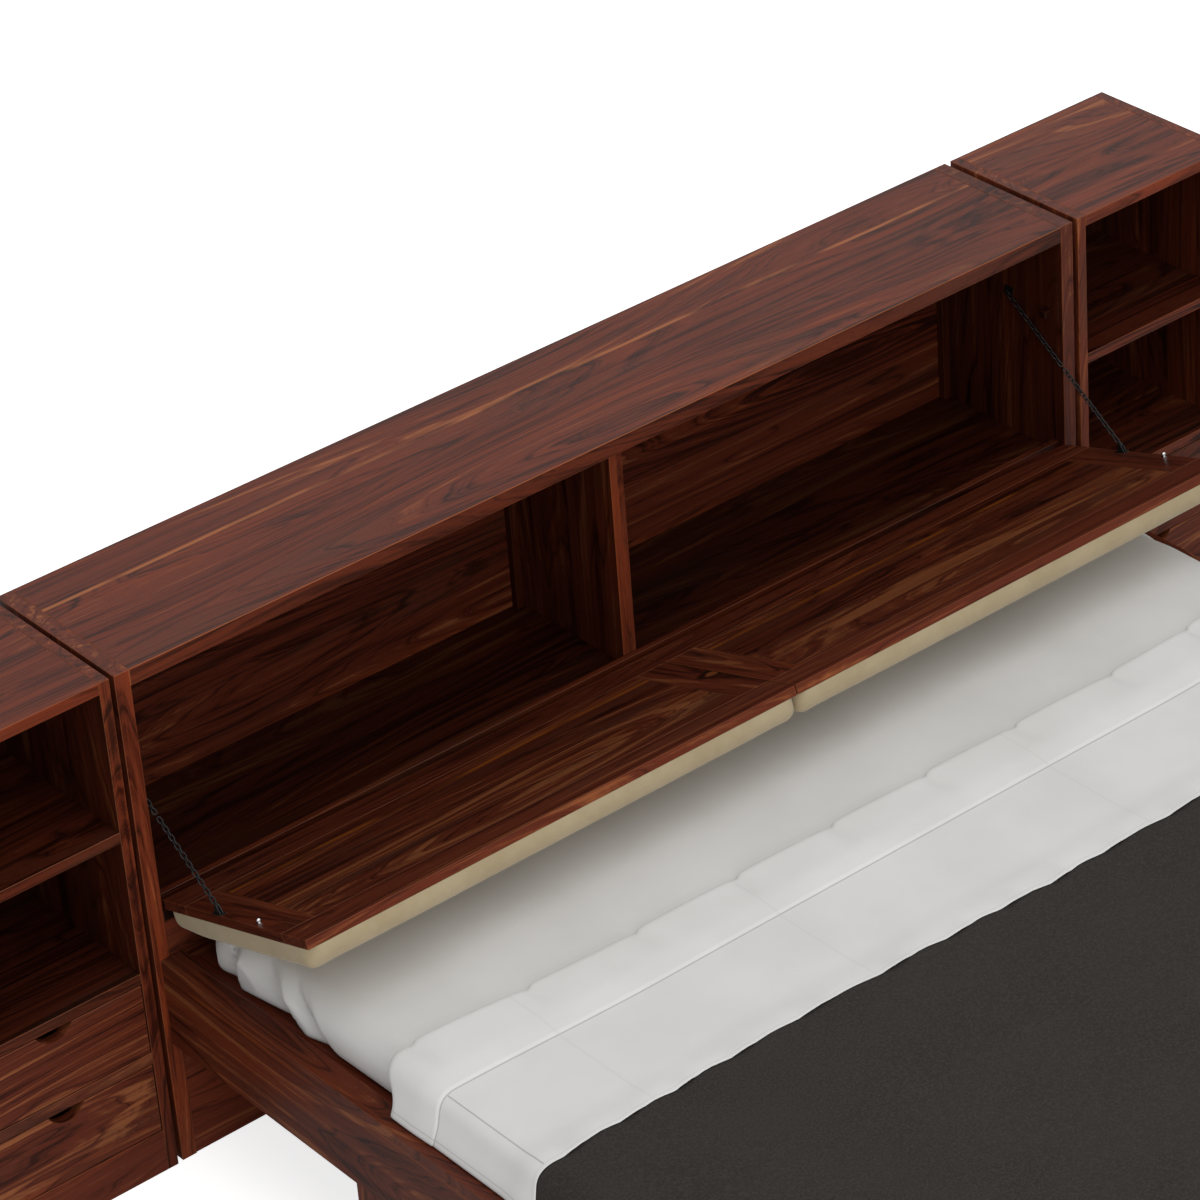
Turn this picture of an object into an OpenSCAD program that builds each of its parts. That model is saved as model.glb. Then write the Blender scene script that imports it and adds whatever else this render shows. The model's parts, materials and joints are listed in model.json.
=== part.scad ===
// King-size bed whose headboard is a storage cabinet with two padded drop-down doors, and which
// carries a nightstand with two drawers on each side. Lengths are in millimetres. The origin is on
// the floor in the middle of the whole piece, +X is to the right for someone facing the headboard,
// and +Y points from the foot to the headboard.

/* [Headboard cabinet] */
// Width of the headboard cabinet
cabinet_w = 1930; // [1700:5:2200]
// Depth of the cabinet
cabinet_d = 310; // [290:2:400]
// Height of the cabinet
cabinet_h = 895; // [860:5:960]
// Thickness of the cabinet's side panels
cabinet_side_t = 26.6; // [20:0.2:34]
// Thickness of the cabinet's top
cabinet_top_t = 28.4; // [20:0.2:36]
// Height of the upper face of the compartment floor
floor_z = 460; // [430:5:490]
// Thickness of the compartment floor
floor_t = 18; // [12:1:26]
// Thickness of the back panel
back_t = 12; // [6:1:18]
// Thickness of the divider between the compartments
divider_t = 26; // [18:1:34]
// How far the divider stands back from the cabinet's front edges
divider_back = 28; // [24:1:48]
// Thickness of the two planks below the compartments
lower_front_t = 18; // [12:1:24]
// How far those planks stand back from the front edges
lower_front_back = 2; // [0:0.5:8]
// Width of the square battens in the back corners
batten_w = 15; // [8:1:24]
// Height of the batten that the closed doors meet
stop_h = 20; // [12:1:30]
// Small flat worked on every edge of a board
edge_ease = 0.8; // [0.2:0.1:1.6]

/* [Doors] */
// Thickness of a door's wood
door_t = 16; // [14:0.5:20]
// Gap between the two doors
door_pair_gap = 2; // [1:0.5:6]
// Gap between a door and the cabinet's side panel
door_side_gap = 2.4; // [1.6:0.2:6]
// Gap between a closed door and the cabinet's top
door_top_gap = 2.6; // [1.6:0.2:6]
// Gap under a closed door, filled by its hinges
hinge_gap = 3; // [2.4:0.2:4]
// How far the hinge pins stand in front of the cabinet
hinge_out = 4; // [4:0.2:5]
// Angle from closed to the open position that the chains hold
door_open = 72; // [66:1:76]
// Width of the rails along a door's hinged and free edges
door_rail_w = 65; // [50:1:80]
// Width of the stiles at a door's two ends
door_stile_w = 62; // [50:1:80]
// Thickness of the panel inside a door's frame
door_panel_t = 12; // [8:1:14]
// Width of the two fine grooves cut along a door's rails
groove_w = 1.4; // [0.8:0.1:2]
// Depth of those grooves
groove_d = 1; // [0.4:0.1:2]
// Thickness of the upholstered pad at its edges
pad_t = 32; // [26:1:36]
// Extra thickness of the pad in its middle
pad_crown = 1.6; // [0.5:0.1:4]
// Radius of the pad's soft edge
pad_edge_r = 14; // [8:1:20]
// Radius of the pad's free corners
pad_corner_r = 40; // [24:2:60]
// Height of the pad's lower edge above the door's lower edge
pad_start = 3; // [3:0.5:8]

/* [Door hinges and catches] */
// Length of a hinge
hinge_l = 60; // [40:5:80]
// Distance from a door's end to the middle of its outer hinges
hinge_inset = 110; // [60:5:160]
// Radius of a hinge knuckle
knuckle_r = 3.5; // [3:0.1:3.7]
// Radius of a hinge pin
hinge_pin_r = 1.5; // [1:0.1:1.8]
// Running clearance around a hinge pin
hinge_clear = 0.1; // [0.05:0.01:0.15]
// How far a hinge leaf reaches behind the cabinet's front
leaf_reach = 13; // [10:1:15]
// Height of the magnetic catch above the compartment floor
catch_rise = 265; // [200:5:320]
// Distance of the catches from the cabinet's side panels
catch_side = 11.7; // [9:0.1:13]
// Width of a catch block
catch_block_w = 17; // [17:0.5:24]
// Depth and height of a catch block
catch_block_s = 14; // [10:1:24]
// Distance of a catch block from the inner face of the closed door
catch_back = 9; // [7:0.5:14]
// Radius of the ball on a catch stud
catch_ball_r = 3.4; // [2.6:0.1:3.4]

/* [Stay chains] */
// Distance of the chains from the cabinet's side panels
chain_side = 8.4; // [7:0.2:12]
// Distance of the wall pin behind the cabinet's front
chain_wall_y = 128; // [120:1:140]
// Height of the wall pin above the compartment floor
chain_wall_rise = 271; // [260:1:285]
// Distance of the door eye from the hinge pins, along the door
chain_eye_reach = 155.7; // [150:0.5:162]
// Height of the door eye above the door's inner face
chain_eye_h = 12.5; // [10:0.5:16]
// Number of links in each half of a chain
links_per_half = 20; // [18:2:22]
// Thickness of the chain's wire
wire_d = 2.2; // [1.4:0.1:2.2]
// Radius inside a link's end
link_in_r = 2.3; // [1.6:0.1:2.4]
// Free length between a link and the next one
link_slack = 0.3; // [0.2:0.05:0.5]
// Gap between the two halves of a chain
chain_gap = 3; // [2.5:0.5:5]
// Radius of the pins that hold the chain's ends
chain_pin_r = 1.2; // [0.8:0.1:1.3]

/* [Nightstands] */
// Gap between a nightstand and the cabinet
stand_gap = 9.7; // [5:0.1:20]
// Width of a nightstand
stand_w = 359; // [300:1:450]
// How much a nightstand is higher than the cabinet
stand_rise = 2; // [0:0.5:8]
// How far a nightstand stands in front of the cabinet
stand_proud = 2; // [0:0.5:6]
// How far the back of a nightstand stays short of the cabinet's back
stand_short = 3; // [0:0.5:10]
// Thickness of a nightstand's sides
stand_side_t = 19; // [14:0.5:25]
// Thickness of a nightstand's top
stand_top_t = 20; // [14:0.5:26]
// Thickness of the two shelves
shelf_t = 19; // [14:0.5:25]
// Height of the upper face of the middle shelf
mid_shelf_z = 634; // [600:2:680]
// Height of the upper face of the lower shelf
low_shelf_z = 375; // [340:1:420]
// Height of the base below the lower drawer
base_z = 76.4; // [60:0.2:110]
// Thickness of the board between the drawers
drawer_rail_t = 21; // [15:0.5:26]
// Depth of that board
drawer_rail_d = 60; // [40:2:90]
// Thickness of a nightstand's back
stand_back_t = 6; // [4:0.5:12]
// Radius of the spacers between nightstand and cabinet
spacer_r = 9; // [5:0.5:14]
// Distance of the spacers from the cabinet's front and back
spacer_inset = 55; // [30:5:90]

/* [Drawers] */
// Gap around a drawer front
drawer_gap = 2; // [1:0.5:4]
// Thickness of a drawer front
drawer_front_t = 18; // [14:0.5:22]
// Thickness of a drawer's sides and back
box_side_t = 10; // [8:0.5:14]
// Thickness of a drawer's bottom
box_bottom_t = 5; // [4:0.5:9]
// Height of a drawer's bottom above its lower edge
box_bottom_up = 8; // [4:0.5:14]
// How much lower the sides are than the front
box_drop = 15; // [6:1:25]
// Space behind a drawer
box_back_gap = 12; // [4:1:30]
// Clearance under a drawer
slide_clear = 0.3; // [0.2:0.05:0.6]
// Width of the runners under the upper drawer
runner_w = 20; // [14:1:30]
// Width of the finger notch at a front's upper edge
notch_w = 64; // [44:2:84]
// Depth of the finger notch
notch_d = 20; // [12:1:28]

/* [Bed frame] */
// Inner width between the bed's side rails
bed_inner_w = 1829; // [1600:2:1850]
// Length from the cabinet's front to the outer face of the foot rail
bed_l = 2030; // [1900:5:2200]
// Thickness of the side and foot rails
rail_t = 40; // [28:1:50]
// Height of the side and foot rails
rail_h = 157; // [130:1:180]
// Height of the rails above the platform
rail_lip = 12; // [6:1:20]
// Thickness of the head cross rail
head_rail_t = 16; // [12:1:20]
// How much lower the head cross rail is
head_rail_drop = 3; // [0:0.5:8]
// Thickness of the platform
platform_t = 12; // [9:1:20]
// Clearance around the platform
platform_clear = 1; // [0.5:0.1:3]
// Width of the ledgers that carry the platform
ledger_w = 25; // [18:1:40]
// Height of the ledgers
ledger_h = 30; // [20:1:40]
// Width and height of the centre beam
beam_w = 60; // [45:1:80]
// Width of a leg
leg_w = 60; // [45:1:70]
// Distance of the side legs from the rail's outer face
leg_inset = 25; // [15:1:35]
// Distance of the first side legs from the cabinet
head_leg_y = 429; // [380:2:500]
// Distance of the last side legs from the foot rail's outer face
foot_leg_y = 90; // [60:2:160]

/* [Mattress and bedding] */
// Thickness of the mattress
mattress_t = 80; // [60:1:100]
// Gap between the mattress and a side rail
mattress_side_gap = 14.5; // [8:0.5:16]
// Gap between the mattress and the cross rails
mattress_end_gap = 2; // [1:0.5:6]
// Clearance between the mattress edge and an open door's pad
pad_bed_gap = 3; // [2:0.5:10]
// Rise of the mattress from its edge to its middle
mattress_crown = 5; // [2:0.5:6]
// Radius of the mattress corners
mattress_corner_r = 60; // [40:5:90]
// Radius of the mattress edge
mattress_edge_r = 30; // [20:1:36]
// Distance of the top sheet's head edge from the cabinet
sheet_start = 530; // [480:5:600]
// Width of the sheet's folded head hem
sheet_band = 95; // [60:5:130]
// Thickness of the folded layers of the sheet
sheet_t = 6; // [4:0.5:8]
// Extra thickness of the folded head hem
sheet_band_t = 3; // [1:0.5:5]
// Distance of the blanket's head edge from the cabinet
blanket_start = 845; // [760:5:1000]
// Thickness of the blanket
blanket_t = 7; // [5:0.5:9]
// How far the sheet's hem spreads onto the rail
hem_spread = 20; // [16:0.5:22]
// Depth of the hanging folds
fold_d = 4; // [1:0.5:5]
// Distance from one hanging fold to the next
fold_pitch = 320; // [240:10:480]

/* [Hidden] */
$fn = 48;
// What rests on something lies this far above it.
rest_clear = 0.3;
// Clearance between mattress and sheet, and between sheet and blanket
sheet_clear = 1.5;
blanket_clear = 0.8;

LEFT = -1;
RIGHT = 1;

// The pieces are drawn with y = 0 at the cabinet's front edges and moved to the origin's frame.
front_y = (bed_l - cabinet_d) / 2;

// Cabinet
cab_x = cabinet_w / 2;
cab_in = cab_x - cabinet_side_t;
cab_under = cabinet_h - cabinet_top_t;
cab_back_y = cabinet_d - back_t;

// Doors, drawn closed and turned open about the hinge pins
door_x0 = door_pair_gap / 2;
door_x1 = cab_in - door_side_gap;
door_z0 = floor_z + hinge_gap;
door_z1 = cab_under - door_top_gap;
hinge_y = -hinge_out;
hinge_z = floor_z + hinge_gap / 2;
leaf_clear = 0.1;
leaf_t = hinge_gap / 2 - leaf_clear;
leaf_start = knuckle_r + 0.6;
stop_clear = 0.4;
// Distances of the grooves from the door's free edge and from its hinged edge
groove_free = 12;
groove_hinge = 42;
// Corner radius that is left where an outline is drawn far in
least_corner_r = 6;

// Lowest point of an open pad, below which the mattress edge stays
pad_z0 = door_z0 + pad_start;
pad_arc = [hinge_out, pad_z0 + pad_t - hinge_z];
pad_low_z = hinge_z + pad_arc.x * sin(door_open) + pad_arc.y * cos(door_open) - pad_t;

// Catches
catch_z = floor_z + catch_rise;
catch_x = cab_in - catch_side;
catch_y = door_t + catch_back;
stud_base_r = 4.4;
stud_base_t = 1.6;
stud_stem_r = 1.9;

// Chains: the wall pin, and the door eye as it lies when the door is closed and when it is open
chain_x = cab_in - chain_side;
wall_pin = [chain_wall_y, floor_z + chain_wall_rise];
eye_closed = [door_t + chain_eye_h, hinge_z + chain_eye_reach];
eye_arm = eye_closed - [hinge_y, hinge_z];
eye_open = [hinge_y + eye_arm.x * cos(door_open) - eye_arm.y * sin(door_open),
            hinge_z + eye_arm.x * sin(door_open) + eye_arm.y * cos(door_open)];
chain_span = wall_pin - eye_open;
chain_angle = atan2(chain_span.y, chain_span.x);
half_reach = (norm(chain_span) - chain_gap) / 2;
pin_seat = chain_pin_r + link_slack;
link_pitch = (half_reach - link_slack + pin_seat - wire_d) / links_per_half;
link_in_l = link_pitch + link_slack;
bracket_t = 2;
bracket_l = 18;
bracket_h = 12;
pin_head_r = 2.6;
pin_head_t = 1.2;
pin_play = 0.4;
eye_plate_t = 1.6;
eye_plate_l = 22;
eye_plate_edge = 3;
eye_foot_in = 2;
eye_cheek_t = 1.6;
eye_cheek_r = 3.4;

// Nightstands, drawn on the right
stand_h = cabinet_h + stand_rise;
stand_x0 = cab_x + stand_gap;
stand_x1 = stand_x0 + stand_w;
stand_in0 = stand_x0 + stand_side_t;
stand_in1 = stand_x1 - stand_side_t;
stand_front = -stand_proud;
stand_rear = cabinet_d - stand_short;
stand_back_y = stand_rear - stand_back_t;
drawer_space = low_shelf_z - shelf_t - base_z;
drawer_h = (drawer_space - drawer_rail_t) / 2;
drawer_rail_z = base_z + drawer_h;
UPPER = drawer_rail_z + drawer_rail_t;
LOWER = base_z;

// Bed
mattress_edge_z = pad_low_z - pad_bed_gap;
platform_z = mattress_edge_z + mattress_crown - mattress_t - rest_clear;
rail_z1 = platform_z + rail_lip;
rail_z0 = rail_z1 - rail_h;
bed_in_x = bed_inner_w / 2;
rail_x1 = bed_in_x + rail_t;
foot_in_y = -(bed_l - rail_t);
ledger_z1 = platform_z - platform_t;

// Mattress: half its width, its head and foot ends, and its underside
mat_x = bed_in_x - mattress_side_gap;
mat_head = -head_rail_t - mattress_end_gap;
mat_foot = foot_in_y + mattress_end_gap;
mat_z0 = platform_z + rest_clear;
crown_reach = 600;
mattress_bottom_r = 10;
mattress_waist = 1.5;

// ---- Helpers -------------------------------------------------------------------------------

module placed() {
  translate([0, front_y, 0]) children();
}

// Draws a right-hand piece on the right, or its mirror image on the left.
module on_side(side) {
  if (side == RIGHT) placed() children();
  else placed() mirror([1, 0, 0]) children();
}

module both_sides() {
  for (side = [LEFT, RIGHT]) on_side(side) children();
}

// Turns what is drawn on a closed door into the open position.
module on_door(side) {
  on_side(side) translate([0, hinge_y, hinge_z]) rotate([door_open, 0, 0])
    translate([0, -hinge_y, -hinge_z]) children();
}

module eased_rectangle(w, h) {
  e = edge_ease;
  polygon([[e, 0], [w - e, 0], [w, e], [w, h - e], [w - e, h], [e, h], [0, h - e], [0, e]]);
}

// A board from its lowest to its highest corner, with a small flat along every edge
module board(lo, hi) {
  size = hi - lo;
  translate(lo) intersection() {
    linear_extrude(size.z) eased_rectangle(size.x, size.y);
    translate([0, size.y, 0]) rotate([90, 0, 0]) linear_extrude(size.y)
      eased_rectangle(size.x, size.z);
    rotate([90, 0, 90]) linear_extrude(size.x) eased_rectangle(size.y, size.z);
  }
}

// A plain box from its lowest to its highest corner
module block(lo, hi) {
  translate(lo) cube(hi - lo);
}

// A cylinder along X from x0 to x1, at a place [y, z]
module rod_x(place, r, x0, x1) {
  translate([x0, place.x, place.y]) rotate([0, 90, 0]) cylinder(r = r, h = x1 - x0);
}

// A closed skin over rings of points that run counter-clockwise, from the lowest ring upwards
module ring_stack(rings) {
  n = len(rings[0]);
  top = (len(rings) - 1) * n;
  sides = [
    for (k = [0 : len(rings) - 2], i = [0 : n - 1])
      let (a = k * n + i, b = k * n + (i + 1) % n)
        each [[a, a + n, b + n], [a, b + n, b]]
  ];
  polyhedron(
    points = [for (ring = rings) each ring],
    faces = concat([[for (i = [0 : n - 1]) i]], [[for (i = [n - 1 : -1 : 0]) top + i]], sides)
  );
}

function arc(centre, r, from, to, steps) = [
  for (k = [0 : steps])
    let (a = from + (to - from) * k / steps) [centre.x + r * cos(a), centre.y + r * sin(a)]
];

function at_height(points, z) = [for (p = points) [p.x, p.y, z]];

// ---- Cabinet -------------------------------------------------------------------------------

module cabinet_side(side) {
  color("#6b2c1b") on_side(side) board([cab_in, 0, 0], [cab_x, cabinet_d, cabinet_h]);
}

module cabinet_top() {
  color("#7a3420") placed() board([-cab_in, 0, cab_under], [cab_in, cabinet_d, cabinet_h]);
}

module cabinet_floor() {
  color("#6b2c1b") placed() board([-cab_in, 0, floor_z - floor_t], [cab_in, cab_back_y, floor_z]);
}

module cabinet_divider() {
  half = divider_t / 2;
  color("#74301d") placed() board([-half, divider_back, floor_z], [half, cab_back_y, cab_under]);
}

module cabinet_back() {
  color("#5e2617") placed() board([-cab_in, cab_back_y, 0], [cab_in, cabinet_d, cab_under]);
}

// Two planks below the compartments
module cabinet_lower_front() {
  plank_h = (floor_z - floor_t) / 2;
  y0 = lower_front_back;
  color("#652918") placed() for (k = [0, 1])
    board([-cab_in, y0, k * plank_h], [cab_in, y0 + lower_front_t, (k + 1) * plank_h]);
}

// The closed doors meet this batten, which runs in front of the divider.
module door_stop_batten() {
  color("#5e2617") placed()
    board([-cab_in, door_t + stop_clear, floor_z], [cab_in, divider_back, floor_z + stop_h]);
}

module corner_battens() {
  y0 = cab_back_y - batten_w;
  color("#5e2617") both_sides() {
    board([cab_in - batten_w, y0, floor_z], [cab_in, cab_back_y, cab_under]);
    board([divider_t / 2, y0, floor_z], [divider_t / 2 + batten_w, cab_back_y, cab_under]);
  }
}

// ---- Door hinges ---------------------------------------------------------------------------

// The middles of a door's three hinges
function hinge_places() = [door_x0 + hinge_inset, (door_x0 + door_x1) / 2, door_x1 - hinge_inset];

// The fixed leaf: its flat on the compartment floor, two outer knuckles and the pin
module fixed_leaf(x) {
  x0 = x - hinge_l / 2;
  third = hinge_l / 3;
  place = [hinge_y, hinge_z];
  block([x0, hinge_y + leaf_start, floor_z], [x0 + hinge_l, leaf_reach, floor_z + leaf_t]);
  for (k = [0, 2]) {
    rod_x(place, knuckle_r, x0 + k * third, x0 + (k + 1) * third);
    block([x0 + k * third, hinge_y, floor_z],
          [x0 + (k + 1) * third, hinge_y + leaf_start, floor_z + leaf_t]);
  }
  rod_x(place, hinge_pin_r, x0 + third, x0 + 2 * third);
}

// The moving leaf: its flat under the closed door and the middle knuckle round the pin
module moving_leaf(x) {
  x0 = x - hinge_l / 2;
  a = x0 + hinge_l / 3 + leaf_clear;
  b = x0 + 2 * hinge_l / 3 - leaf_clear;
  place = [hinge_y, hinge_z];
  block([x0, hinge_y + leaf_start, door_z0 - leaf_t], [x0 + hinge_l, leaf_reach, door_z0]);
  difference() {
    union() {
      rod_x(place, knuckle_r, a, b);
      block([a, hinge_y, door_z0 - leaf_t], [b, hinge_y + leaf_start, door_z0]);
    }
    rod_x(place, hinge_pin_r + hinge_clear, a - 1, b + 1);
  }
}

module fixed_hinge_leaves() {
  color("#3a3632") both_sides() for (x = hinge_places()) fixed_leaf(x);
}

module door_hinge_leaves(side) {
  color("#3a3632") on_door(side) for (x = hinge_places()) moving_leaf(x);
}

// ---- Doors ---------------------------------------------------------------------------------

// A groove along a door's inner face, its middle at height z
module door_groove(z) {
  block([door_x0 - 1, door_t - groove_d, z - groove_w / 2],
        [door_x1 + 1, door_t + 1, z + groove_w / 2]);
}

module door_frame(side) {
  z_low = door_z0 + door_rail_w;
  z_high = door_z1 - door_rail_w;
  color("#7a3420") on_door(side) {
    difference() {
      board([door_x0, 0, door_z0], [door_x1, door_t, z_low]);
      door_groove(door_z0 + groove_hinge);
    }
    difference() {
      board([door_x0, 0, z_high], [door_x1, door_t, door_z1]);
      door_groove(door_z1 - groove_free);
    }
    for (x = [door_x0, door_x1 - door_stile_w])
      board([x, 0, z_low], [x + door_stile_w, door_t, z_high]);
  }
}

// The panel lies flush with the frame's inner face.
module door_panel(side) {
  color("#6b2c1b") on_door(side)
    board([door_x0 + door_stile_w, door_t - door_panel_t, door_z0 + door_rail_w],
          [door_x1 - door_stile_w, door_t, door_z1 - door_rail_w]);
}

// Outline of the pad: square corners at the hinges, round ones at the free edge. Its edges are
// drawn in by e, and the hinged edge by h.
function pad_outline(e, h) =
  let (r = max(pad_corner_r - e, least_corner_r),
       x0 = door_x0 + e, x1 = door_x1 - e, z0 = pad_z0 + h, z1 = door_z1 - e)
    concat([[x0, z0]], [for (k = [1 : 5]) [x0 + (x1 - x0) * k / 6, z0]], [[x1, z0]],
           arc([x1 - r, z1 - r], r, 0, 90, 6),
           [for (k = [5 : -1 : 1]) [x0 + r + (x1 - x0 - 2 * r) * k / 6, z1]],
           arc([x0 + r, z1 - r], r, 90, 180, 6));

// The hinged edge is a quarter round as large as the pad is thick, so that the pad clears the
// hinges; the other edges have the soft edge radius.
function pad_round(t, r) = r - sqrt(max(0, r * r - t * t));

module door_pad(side) {
  flat = pad_t - pad_edge_r;
  depths = concat([0, flat / 2], [for (a = [0 : 18 : 90]) flat + pad_edge_r * sin(a)]);
  edge_rings = [
    for (t = depths)
      at_height(pad_outline(pad_round(max(0, t - flat), pad_edge_r), pad_round(t, pad_t)), t)
  ];
  crown_rings = [
    for (k = [[25, 0.45], [70, 0.85], [120, 1]])
      at_height(pad_outline(pad_edge_r + k[0], pad_t + k[0]), pad_t + pad_crown * k[1])
  ];
  color("#b3a486") on_door(side) rotate([90, 0, 0]) ring_stack(concat(edge_rings, crown_rings));
}

// ---- Catches -------------------------------------------------------------------------------

module catch_blocks() {
  half = catch_block_s / 2;
  color("#2b2522") both_sides()
    board([cab_in - catch_block_w, catch_y, catch_z - half],
          [cab_in, catch_y + catch_block_s, catch_z + half]);
}

module door_catch_stud(side) {
  stem = catch_back - rest_clear - catch_ball_r;
  color("#c9c9c9") on_door(side) translate([catch_x, door_t, catch_z]) rotate([-90, 0, 0]) {
    cylinder(r = stud_base_r, h = stud_base_t);
    cylinder(r = stud_stem_r, h = stem);
    translate([0, 0, stem]) sphere(r = catch_ball_r);
  }
}

// ---- Stay chains ---------------------------------------------------------------------------

// An oval link of round wire round the origin, its length along X
module link() {
  mid_r = link_in_r + wire_d / 2;
  half = link_in_l / 2 - link_in_r;
  for (turn = [0, 180]) rotate([0, 0, turn]) {
    translate([half, 0, 0]) rotate([0, 0, -90]) rotate_extrude(angle = 180)
      translate([mid_r, 0]) circle(d = wire_d);
    translate([-half, mid_r, 0]) rotate([0, 90, 0]) cylinder(d = wire_d, h = 2 * half);
  }
}

// Half a chain, from the middle of the pin at a place [y, z], in a direction from +Y towards +Z.
// Every second link is turned a quarter, so that the two free ends lie flat side by side.
module chain_half(side, place, angle) {
  color("#15181a") on_side(side) translate([chain_x, place.x, place.y]) rotate([angle, 0, 0])
    rotate([90, 0, 90]) for (k = [0 : links_per_half - 1])
      translate([link_in_l / 2 - pin_seat + k * link_pitch, 0, 0]) rotate([90 * (k % 2), 0, 0])
        link();
}

module chain_upper(side) {
  chain_half(side, wall_pin, chain_angle + 180);
}

module chain_lower(side) {
  chain_half(side, eye_open, chain_angle);
}

// A plate on the side panel with a headed pin through the chain's first link
module chain_wall_brackets() {
  color("#15181a") both_sides() {
    block([cab_in - bracket_t, wall_pin.x - bracket_l / 2, wall_pin.y - bracket_h / 2],
          [cab_in, wall_pin.x + bracket_l / 2, wall_pin.y + bracket_h / 2]);
    pin_end = chain_x - wire_d / 2 - pin_play;
    rod_x(wall_pin, chain_pin_r, pin_end, cab_in - bracket_t);
    rod_x(wall_pin, pin_head_r, pin_end - pin_head_t, pin_end);
  }
}

// A plate on the door with two three-cornered cheeks that hold the pin of the chain's last link
module door_chain_eye(side) {
  inner = wire_d / 2 + pin_play;
  outer = inner + eye_cheek_t;
  half = eye_plate_l / 2;
  color("#15181a") on_door(side) {
    block([chain_x - outer - eye_plate_edge, door_t, eye_closed.y - half],
          [chain_x + outer + eye_plate_edge, door_t + eye_plate_t, eye_closed.y + half]);
    for (x = [chain_x - outer, chain_x + inner])
      translate([x, 0, 0]) rotate([90, 0, 90]) linear_extrude(eye_cheek_t) {
        translate(eye_closed) circle(r = eye_cheek_r);
        polygon([[door_t, eye_closed.y - half + eye_foot_in],
                 [eye_closed.x, eye_closed.y - eye_cheek_r],
                 [eye_closed.x, eye_closed.y + eye_cheek_r],
                 [door_t, eye_closed.y + half - eye_foot_in]]);
      }
    rod_x(eye_closed, chain_pin_r, chain_x - inner, chain_x + inner);
  }
}

// ---- Nightstands ---------------------------------------------------------------------------

module stand_sides(side) {
  color("#6b2c1b") on_side(side) for (x = [stand_x0, stand_in1])
    board([x, stand_front, 0], [x + stand_side_t, stand_rear, stand_h]);
}

module stand_top(side) {
  color("#7a3420") on_side(side)
    board([stand_in0, stand_front, stand_h - stand_top_t], [stand_in1, stand_rear, stand_h]);
}

module stand_shelves(side) {
  color("#74301d") on_side(side) for (z = [mid_shelf_z, low_shelf_z])
    board([stand_in0, stand_front, z - shelf_t], [stand_in1, stand_back_y, z]);
}

// The plinth board under the lower drawer and the bottom board behind it
module stand_base(side) {
  y1 = stand_front + drawer_front_t;
  color("#652918") on_side(side) {
    board([stand_in0, stand_front, 0], [stand_in1, y1, base_z]);
    board([stand_in0, y1, base_z - shelf_t], [stand_in1, stand_back_y, base_z]);
  }
}

module stand_back(side) {
  color("#5e2617") on_side(side)
    board([stand_in0, stand_back_y, 0], [stand_in1, stand_rear, stand_h - stand_top_t]);
}

module drawer_rails() {
  color("#74301d") both_sides()
    board([stand_in0, stand_front, drawer_rail_z],
          [stand_in1, stand_front + drawer_rail_d, drawer_rail_z + drawer_rail_t]);
}

module drawer_runners() {
  color("#a98a60") both_sides() for (x = [stand_in0, stand_in1 - runner_w])
    board([x, stand_front + drawer_rail_d, drawer_rail_z],
          [x + runner_w, stand_back_y, drawer_rail_z + drawer_rail_t]);
}

module stand_spacers() {
  color("#3a3632") both_sides()
    for (y = [spacer_inset, cabinet_d - spacer_inset], z = [floor_z / 3, cab_under - spacer_inset])
      rod_x([y, z], spacer_r, cab_x, stand_x0);
}

// ---- Drawers -------------------------------------------------------------------------------

module drawer_front(side, z) {
  top = z + drawer_h - drawer_gap;
  notch_r = (notch_w * notch_w / 4 + notch_d * notch_d) / (2 * notch_d);
  mid = (stand_in0 + stand_in1) / 2;
  color("#7a3420") on_side(side) difference() {
    board([stand_in0 + drawer_gap, stand_front, z + drawer_gap],
          [stand_in1 - drawer_gap, stand_front + drawer_front_t, top]);
    translate([mid, stand_front - 1, top + notch_r - notch_d]) rotate([-90, 0, 0])
      cylinder(r = notch_r, h = drawer_front_t + 2, $fn = 96);
  }
}

module drawer_box(side, z) {
  x0 = stand_in0 + drawer_gap;
  x1 = stand_in1 - drawer_gap;
  y0 = stand_front + drawer_front_t;
  y1 = stand_back_y - box_back_gap;
  z0 = z + slide_clear;
  z1 = z + drawer_h - drawer_gap - box_drop;
  bottom = z0 + box_bottom_up;
  color("#a98a60") on_side(side) {
    for (x = [x0, x1 - box_side_t]) board([x, y0, z0], [x + box_side_t, y1, z1]);
    board([x0 + box_side_t, y1 - box_side_t, z0], [x1 - box_side_t, y1, z1]);
    board([x0 + box_side_t, y0, bottom],
          [x1 - box_side_t, y1 - box_side_t, bottom + box_bottom_t]);
  }
}

// ---- Bed frame -----------------------------------------------------------------------------

module side_rail(side) {
  color("#7a3420") on_side(side) board([bed_in_x, -bed_l, rail_z0], [rail_x1, 0, rail_z1]);
}

module head_rail() {
  color("#74301d") placed()
    board([-bed_in_x, -head_rail_t, rail_z0], [bed_in_x, 0, rail_z1 - head_rail_drop]);
}

module foot_rail() {
  color("#7a3420") placed() board([-bed_in_x, -bed_l, rail_z0], [bed_in_x, foot_in_y, rail_z1]);
}

// The distances of the side legs' head-side faces from the cabinet
function side_leg_places() = [head_leg_y, bed_l - foot_leg_y - leg_w];

// A side leg: its upper part stands inside the rail and carries the ledger.
module side_leg(d) {
  x0 = rail_x1 - leg_inset - leg_w;
  x1 = rail_x1 - leg_inset;
  z1 = ledger_z1 - ledger_h;
  color("#652918") translate([0, -d, 0]) rotate([90, 0, 0]) linear_extrude(leg_w)
    polygon([[x0, 0], [x1, 0], [x1, rail_z0], [bed_in_x, rail_z0], [bed_in_x, z1], [x0, z1]]);
}

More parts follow.
